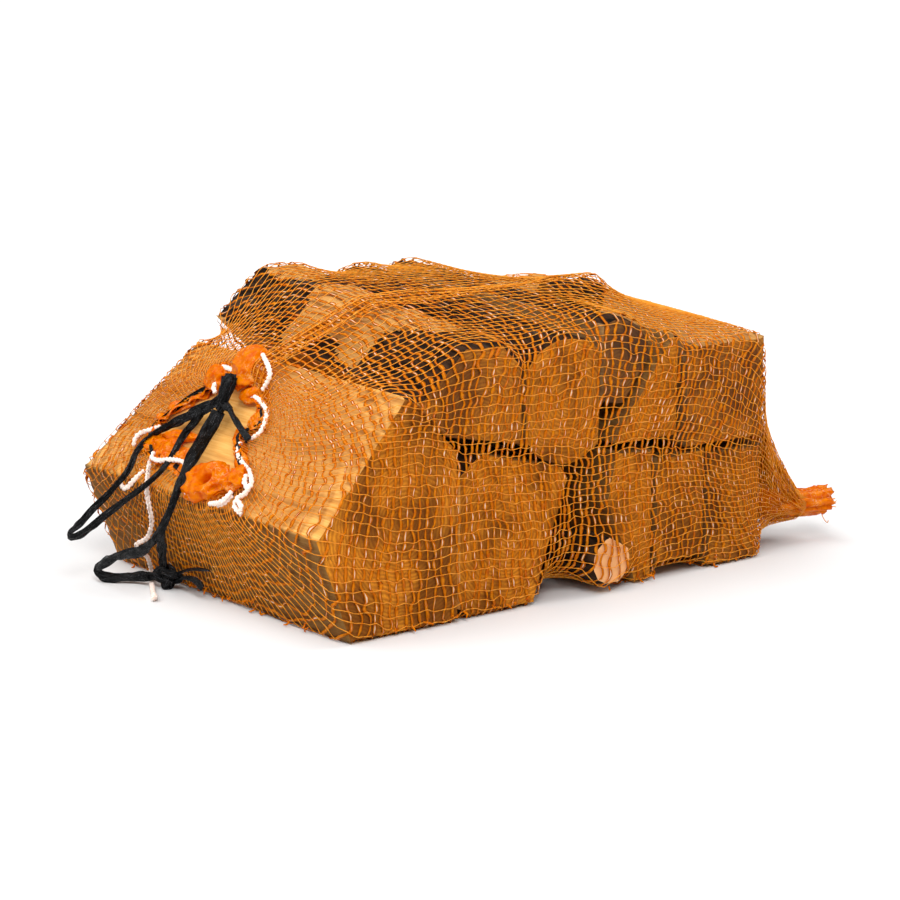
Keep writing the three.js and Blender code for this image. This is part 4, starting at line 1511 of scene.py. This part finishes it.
@dataclass
class Hem:
    """The drawn hem: a ruffled band of film along the ring, crumpled puffs of it, and white edging."""

    skin: NetSkin
    ruffles: int = 27
    ruffle_lift: float = 1.9
    band_wide: float = 7.5
    band_lifts: tuple = (1.8, 4.0)
    band_steps: int = 440
    band_rows: int = 6
    film: float = 0.3
    edging_wide: float = 3.2
    puffs: tuple = (
        Puff((-21, 40.5, 7.5), (15.5, 15, 8.5), 10, crumple=0.3, seed=3),
        Puff((5, 30, 5.5), (12, 9.5, 6.5), -20, crumple=0.32, seed=5),
        Puff((-34, 26, 3.5), (11, 6.5, 4), -25, crumple=0.3, seed=6),
        Puff((-46, -39.5, 5), (20, 12.5, 6), -20, 0.22, 0.3, 7),
        Puff((-70, -31.5, 5), (7, 9, 5.5), 15, crumple=0.3, seed=9),
        Puff((38, -26, 2.2), (12, 7.5, 2.6), -15, crumple=0.3, seed=11),
        Puff((18, -26.5, 2.4), (12, 6.5, 3), -15, crumple=0.3, seed=12),
        Puff((-1, -28, 2.4), (10, 5.5, 3), -10, crumple=0.3, seed=13),
        Puff((13, -15.5, 2.5), (17, 3.6, 3), -8, crumple=0.3, seed=14),
        Puff((-53, 10, 2.6), (7.5, 8, 3.2), -30, crumple=0.3, seed=15),
    )
    edging: tuple = (
        ((-35, 49, 14), (-47, 43, 15), (-53.5, 37.5, 14), (-52.5, 32.5, 12), (-48.5, 28, 9)),
        ((-29.5, 23, 5), (-39.5, 23.5, 5), (-50.5, 20.5, 5), (-59.5, 16, 5), (-64, 8, 5), (-64.5, 1, 5),
         (-57.5, -4.5, 4)),
        ((-51.5, -8, 4), (-54.5, -14.5, 4), (-65, -20, 5), (-75.5, -23, 6)),
        ((-77.5, -23.5, 6), (-88, -30.5, 7), (-89, -35.5, 7), (-87, -39.5, 6), (-83.5, -43, 6),
         (-84, -48.5, 5), (-92.5, -51.5, 4)),
        ((-79.5, -28, 7), (-84, -33, 8), (-89, -36.5, 6)),
        ((-85.5, -45, 7), (-91.5, -47, 7), (-91.5, -50.5, 5)),
        ((-77, -41, 8), (-77, -46.5, 9), (-73.5, -50.5, 9), (-62, -53, 7)),
        ((-77, -42.5, 6), (-74, -48.5, 6), (-69.5, -52, 6)),
        ((-22.5, -45.5, 5), (-31.5, -50.5, 6), (-38, -51.5, 6)),
        ((36, -14, 4), (43, -19, 5), (49, -23.5, 6), (50.5, -28.5, 6), (50.5, -32.5, 4)),
        ((23, -33, 6), (19.5, -37, 7), (10.5, -37, 7), (0, -34, 7), (-11, -32.5, 6), (-14, -35, 4)),
        ((25.5, -45.5, 3), (29, -51.5, 3), (31.5, -59, 3), (34.5, -61.5, 3), (40, -59.5, 3)),
        ((0.5, 26, 8), (0.5, 21, 9), (-3.5, 17.5, 8)),
        ((2.5, 35.5, 10), (-5.5, 35, 11), (-11.5, 34.5, 11)),
    )

    def band(self, lift: float, seed: int) -> tuple[np.ndarray, list[np.ndarray]]:
        """Gives one layer of the ruffled band as points and faces.

        Args:
            lift: how far off the log face it lies.
            seed: the layer's own random pattern.

        Returns:
            Its points and its faces.
        """
        count = self.band_steps
        ring = self.skin.drawn_ring(count, lift)
        along = unit(np.roll(ring, -1, axis=0) - np.roll(ring, 1, axis=0))
        outward = np.cross(OFF_FACE, along)
        turn = 2 * np.pi * np.arange(count) / count
        around = np.stack([5 * np.cos(turn), 5 * np.sin(turn), np.full(count, seed)], axis=1)
        wide = self.band_wide * (1 + 0.45 * soft_noise(around, seed))
        wave = np.sin(self.ruffles * turn + 5.0 * soft_noise(around, seed + 1) + seed)
        rows = []
        for share in np.linspace(-0.5, 0.5, self.band_rows):
            rise = self.ruffle_lift * wave * (0.35 + 1.3 * abs(share))
            sway = 1.4 * soft_noise(around * 2.1 + share, seed + 2)
            across = (share * wide + sway)[:, None] * outward
            rows.append(ring + across + np.maximum(rise, 0.5 - lift)[:, None] * OFF_FACE)
        index = np.arange(self.band_rows * count).reshape(self.band_rows, count)
        here, ahead = index[:-1], index[1:]
        corners = [here, np.roll(here, -1, axis=1), np.roll(ahead, -1, axis=1), ahead]
        return np.concatenate(rows), [np.stack(corners, axis=-1).reshape(-1, 4)]

    def build(self, film: bpy.types.Material, white: bpy.types.Material) -> None:
        """Builds the band, the puffs and the edging.

        Args:
            film: the hem's orange film.
            white: the edging's yarn.
        """
        layers = [self.band(lift, 201 + 10 * k) for k, lift in enumerate(self.band_lifts)]
        band = dress(mesh_piece("hem_band", *joined(layers)), Slot.NET, film)
        thick = band.modifiers.new("film", "SOLIDIFY")
        thick.thickness = self.film * MM
        thick.offset = 0.0
        dress(mesh_piece("hem_puffs", *joined([puff.mesh() for puff in self.puffs])), Slot.NET, film)
        wide = self.edging_wide
        looped = Raffia((0.8 * wide, wide, 0.8 * wide), 2.0, 0.5, 1.3, 2.0, 0.4, 0.24, 3.0, 91, 10)
        parts, marks = [], []
        for places in self.edging:
            points, faces, mark_points = looped.sweep(even_line(on_face(np.array(places)), 0.8))
            parts.append((points, faces))
            marks.append(mark_points)
        edging = mesh_piece("hem_edging", *joined(parts))
        mark(edging, "run", np.concatenate(marks))
        dress(edging, Slot.YARN, white)


@dataclass
class Tail:
    """The sewn end of the net: a thick bundle of folds with a ragged end and loose threads."""

    skin: NetSkin
    radii: tuple = (8.0, 9.5, 10.2, 9.8, 11.0)
    folds: int = 9
    fold_depth: float = 0.24
    twist: float = 1.2
    ragged: float = 3.4
    sides: int = 90
    threads: int = 60
    thread_half: float = 0.35
    thread_end: float = 259.0  # the farthest that a thread reaches along X
    loose: tuple = ((246, -112, 21), (248.5, -114, 14), (251.5, -114.5, 11), (254, -113, 12))

    def bundle(self) -> tuple[np.ndarray, list[np.ndarray], np.ndarray]:
        """Gives the bundle's points and faces, and its last ring."""
        route = np.array([self.skin.tail_inside, self.skin.tail_root, self.skin.tail_tip], float)
        line = even_line(route, 1.5)
        first, second = carried_frame(line)
        share = np.linspace(0, 1, len(line))
        turn = 2 * np.pi * np.arange(self.sides) / self.sides
        wrap = np.broadcast_arrays(2 * np.cos(turn), 2 * np.sin(turn), 3.5 * share[:, None])
        wrap = np.stack(wrap, axis=-1)
        phase = 0.5 * self.folds * turn + self.twist * share[:, None] + 1.6 * soft_noise(wrap, 301)
        fold = 1 - self.fold_depth * (1 - np.abs(np.sin(phase))) ** 2
        crumple = 1 + 0.1 * soft_noise(wrap * [2.4, 2.4, 4.0], 302)
        radius = np.interp(share, np.linspace(0, 1, len(self.radii)), self.radii)[:, None] * fold * crumple
        across = np.cos(turn)[:, None] * first[:, None] + np.sin(turn)[:, None] * second[:, None]
        rings = line[:, None] + radius[..., None] * across
        tear = self.ragged * soft_noise(wrap * 3.1, 303) * np.clip(8 * share - 7, 0, 1)[:, None]
        rings = rings + tear[..., None] * unit(line[-1] - line[-2])
        return rings.reshape(-1, 3), sweep_faces(1, len(line), self.sides, False), rings[-1]

    def fringe(self, rim: np.ndarray) -> list[tuple[np.ndarray, list[np.ndarray]]]:
        """Gives the loose threads at the ragged end, each as points and faces."""
        random = np.random.default_rng(7)
        middle = rim.mean(axis=0)
        thread = Raffia((2 * self.thread_half, 1.6 * self.thread_half), 2 * self.thread_half, 0.0, sides=5)
        parts = [thread.sweep(even_line(np.array(self.loose, float), 1.0))[:2]]
        for _ in range(self.threads):
            root = middle + (rim[random.integers(len(rim))] - middle) * random.uniform(0.4, 0.97)
            way = np.array([1.0, 0.0, -0.1]) + random.normal(0, 0.5, 3)
            bend = random.normal(0, 0.5, 3)
            long = random.uniform(1.5, 4.5)
            route = np.stack([root, root + 0.5 * long * way, root + long * (way + 0.5 * bend)])
            route[:, 0] = np.minimum(route[:, 0], self.thread_end)
            parts.append(thread.sweep(even_line(route, 1.2))[:2])
        return parts

    def build(self, film: bpy.types.Material, thread: bpy.types.Material) -> None:
        """Builds the bundle and its threads.

        Args:
            film: the film of the folds.
            thread: the net's yarn.
        """
        points, faces, rim = self.bundle()
        dress(mesh_piece("tail_bundle", points, faces), Slot.NET, film)
        dress(mesh_piece("tail_threads", *joined(self.fringe(rim))), Slot.NET, thread)


@dataclass
class Studio:
    """A pale floor, soft light from above and the camera of the photo."""

    distance: float = 1600.0
    azimuth: float = np.radians(-37.46)
    elevation: float = np.radians(11.87)
    aim: tuple = (10.9, 11.1, 73.4)
    lens: float = 93.6
    sensor: float = 36.0
    clip_end: float = 200.0  # in metres, as are the places of the lights
    floor_half: float = 40.0
    surround: float = 0.29
    sun_power: float = 3.0
    sun_angle: float = np.radians(70.0)
    sun_turn: tuple = (np.radians(-12.0), np.radians(-26.0), 0.0)
    panels: tuple = (  # name, place, side and power
        ("front_panel", (-0.9, -1.6, 1.7), 0.9, 36.0),
        ("side_panel", (1.7, -0.6, 1.5), 0.8, 16.0),
    )
    panel_aim: tuple = (0.0, 0.0, 0.08)

    def build(self) -> None:
        """Builds the floor, the light and the camera."""
        self.build_floor()
        self.build_light()
        self.build_camera()

    def build_floor(self) -> None:
        """Builds the floor, which isn't part of the object; it is painted greyer near the sack and whiter
        far off, as painted shadow and light.
        """
        form = bmesh.new()
        bmesh.ops.create_grid(form, x_segments=1, y_segments=1, size=self.floor_half)
        mesh = bpy.data.meshes.new("pale_floor")
        form.to_mesh(mesh)
        form.free()
        floor = bpy.data.objects.new("pale_floor", mesh)
        bpy.context.scene.collection.objects.link(floor)
        shader = Shader("pale_floor")
        place = shader.add("TexCoord").outputs["Object"]
        far = shader.add("VectorMath", {0: place}, operation="LENGTH").outputs["Value"]
        # painted shadow and light: greyer near the sack, whiter far off
        shaded_near, lit_far = level(0.7), level(0.98)
        pale = shader.ramp(shader.maths("MULTIPLY", far, 0.4), (0.1, shaded_near), (0.8, lit_far))
        mesh.materials.append(shader.finish(shader.add("BsdfPrincipled", {
            "Base Color": pale,
            "Roughness": 0.8,
            "Specular IOR Level": 0.0,
        })))

    def build_light(self) -> None:
        """Sets a white surround, a wide soft light from above and two glints."""
        world = bpy.data.worlds.new("white_room")
        world.use_nodes = True
        world.node_tree.nodes["Background"].inputs["Color"].default_value = level(1.0)
        world.node_tree.nodes["Background"].inputs["Strength"].default_value = self.surround
        scene = bpy.context.scene
        scene.world = world
        scene.view_settings.view_transform = "Standard"
        sun = bpy.data.lights.new("soft_top", "SUN")
        sun.energy = self.sun_power
        sun.angle = self.sun_angle
        top = bpy.data.objects.new("soft_top", sun)
        top.rotation_euler = self.sun_turn
        scene.collection.objects.link(top)
        for panel in self.panels:
            self.add_panel(*panel)

    def add_panel(self, name: str, place: tuple, size: float, power: float) -> None:
        """Hangs a square light panel that looks at the sack.

        Args:
            name: the panel's name.
            place: where it hangs, in metres.
            size: its side, in metres.
            power: its power in watts.
        """
        panel = bpy.data.lights.new(name, "AREA")
        panel.size = size
        panel.energy = power
        lamp = bpy.data.objects.new(name, panel)
        lamp.location = place
        way = Vector(self.panel_aim) - Vector(place)
        lamp.rotation_euler = way.to_track_quat("-Z", "Y").to_euler()
        bpy.context.scene.collection.objects.link(lamp)

    def build_camera(self) -> None:
        """Sets the camera at the photo's place and angle."""
        sin, cos = np.sin(self.azimuth), np.cos(self.azimuth)
        level, rise = np.cos(self.elevation), np.sin(self.elevation)
        back = np.array([sin * level, -cos * level, rise])
        right = np.array([cos, sin, 0.0])
        place = to_row(np.array(self.aim) + back * self.distance)
        camera = bpy.data.cameras.new("photo_camera")
        camera.lens = self.lens
        camera.sensor_width = self.sensor
        camera.clip_end = self.clip_end
        eye = bpy.data.objects.new("photo_camera", camera)
        axes = np.stack([right, np.cross(back, right), back], axis=1)
        eye.matrix_world = Matrix.Translation(place) @ Matrix(axes.tolist()).to_4x4()
        bpy.context.scene.collection.objects.link(eye)
        bpy.context.scene.camera = eye


def main() -> None:
    """Builds the sack piece by piece."""
    logging.basicConfig(level=logging.INFO, format="%(name)s %(message)s")
    Studio().build()
    pile = WoodPile()
    skin = NetSkin(pile)
    raffia = RaffiaFinish().material()
    yarn = WhiteYarnFinish().material()
    film = FilmFinish("net_film").material()
    gold, straw = linear(244, 146, 20), linear(252, 184, 74)
    thread = FilmFinish("net_yarn", gold, straw, roughness=0.36, through=0.3).material()
    # peach is the hem film's painted highlight colour
    blood, orange, highlight_peach = linear(230, 102, 0), linear(255, 154, 0), linear(255, 214, 140)
    bright = FilmFinish("hem_film", blood, orange, highlight_peach, roughness=0.08, gloss=0.12, through=0.45,
                        crinkle=260.0, crinkle_depth=0.0009, wrinkle_highlights=0.6).material()
    Drawstring(skin).build(raffia, yarn)
    pile.build()
    KnittedNet(skin).build(film, thread)
    Hem(skin).build(bright, yarn)
    Tail(skin).build(bright, thread)


if __name__ == "__main__":
    main()
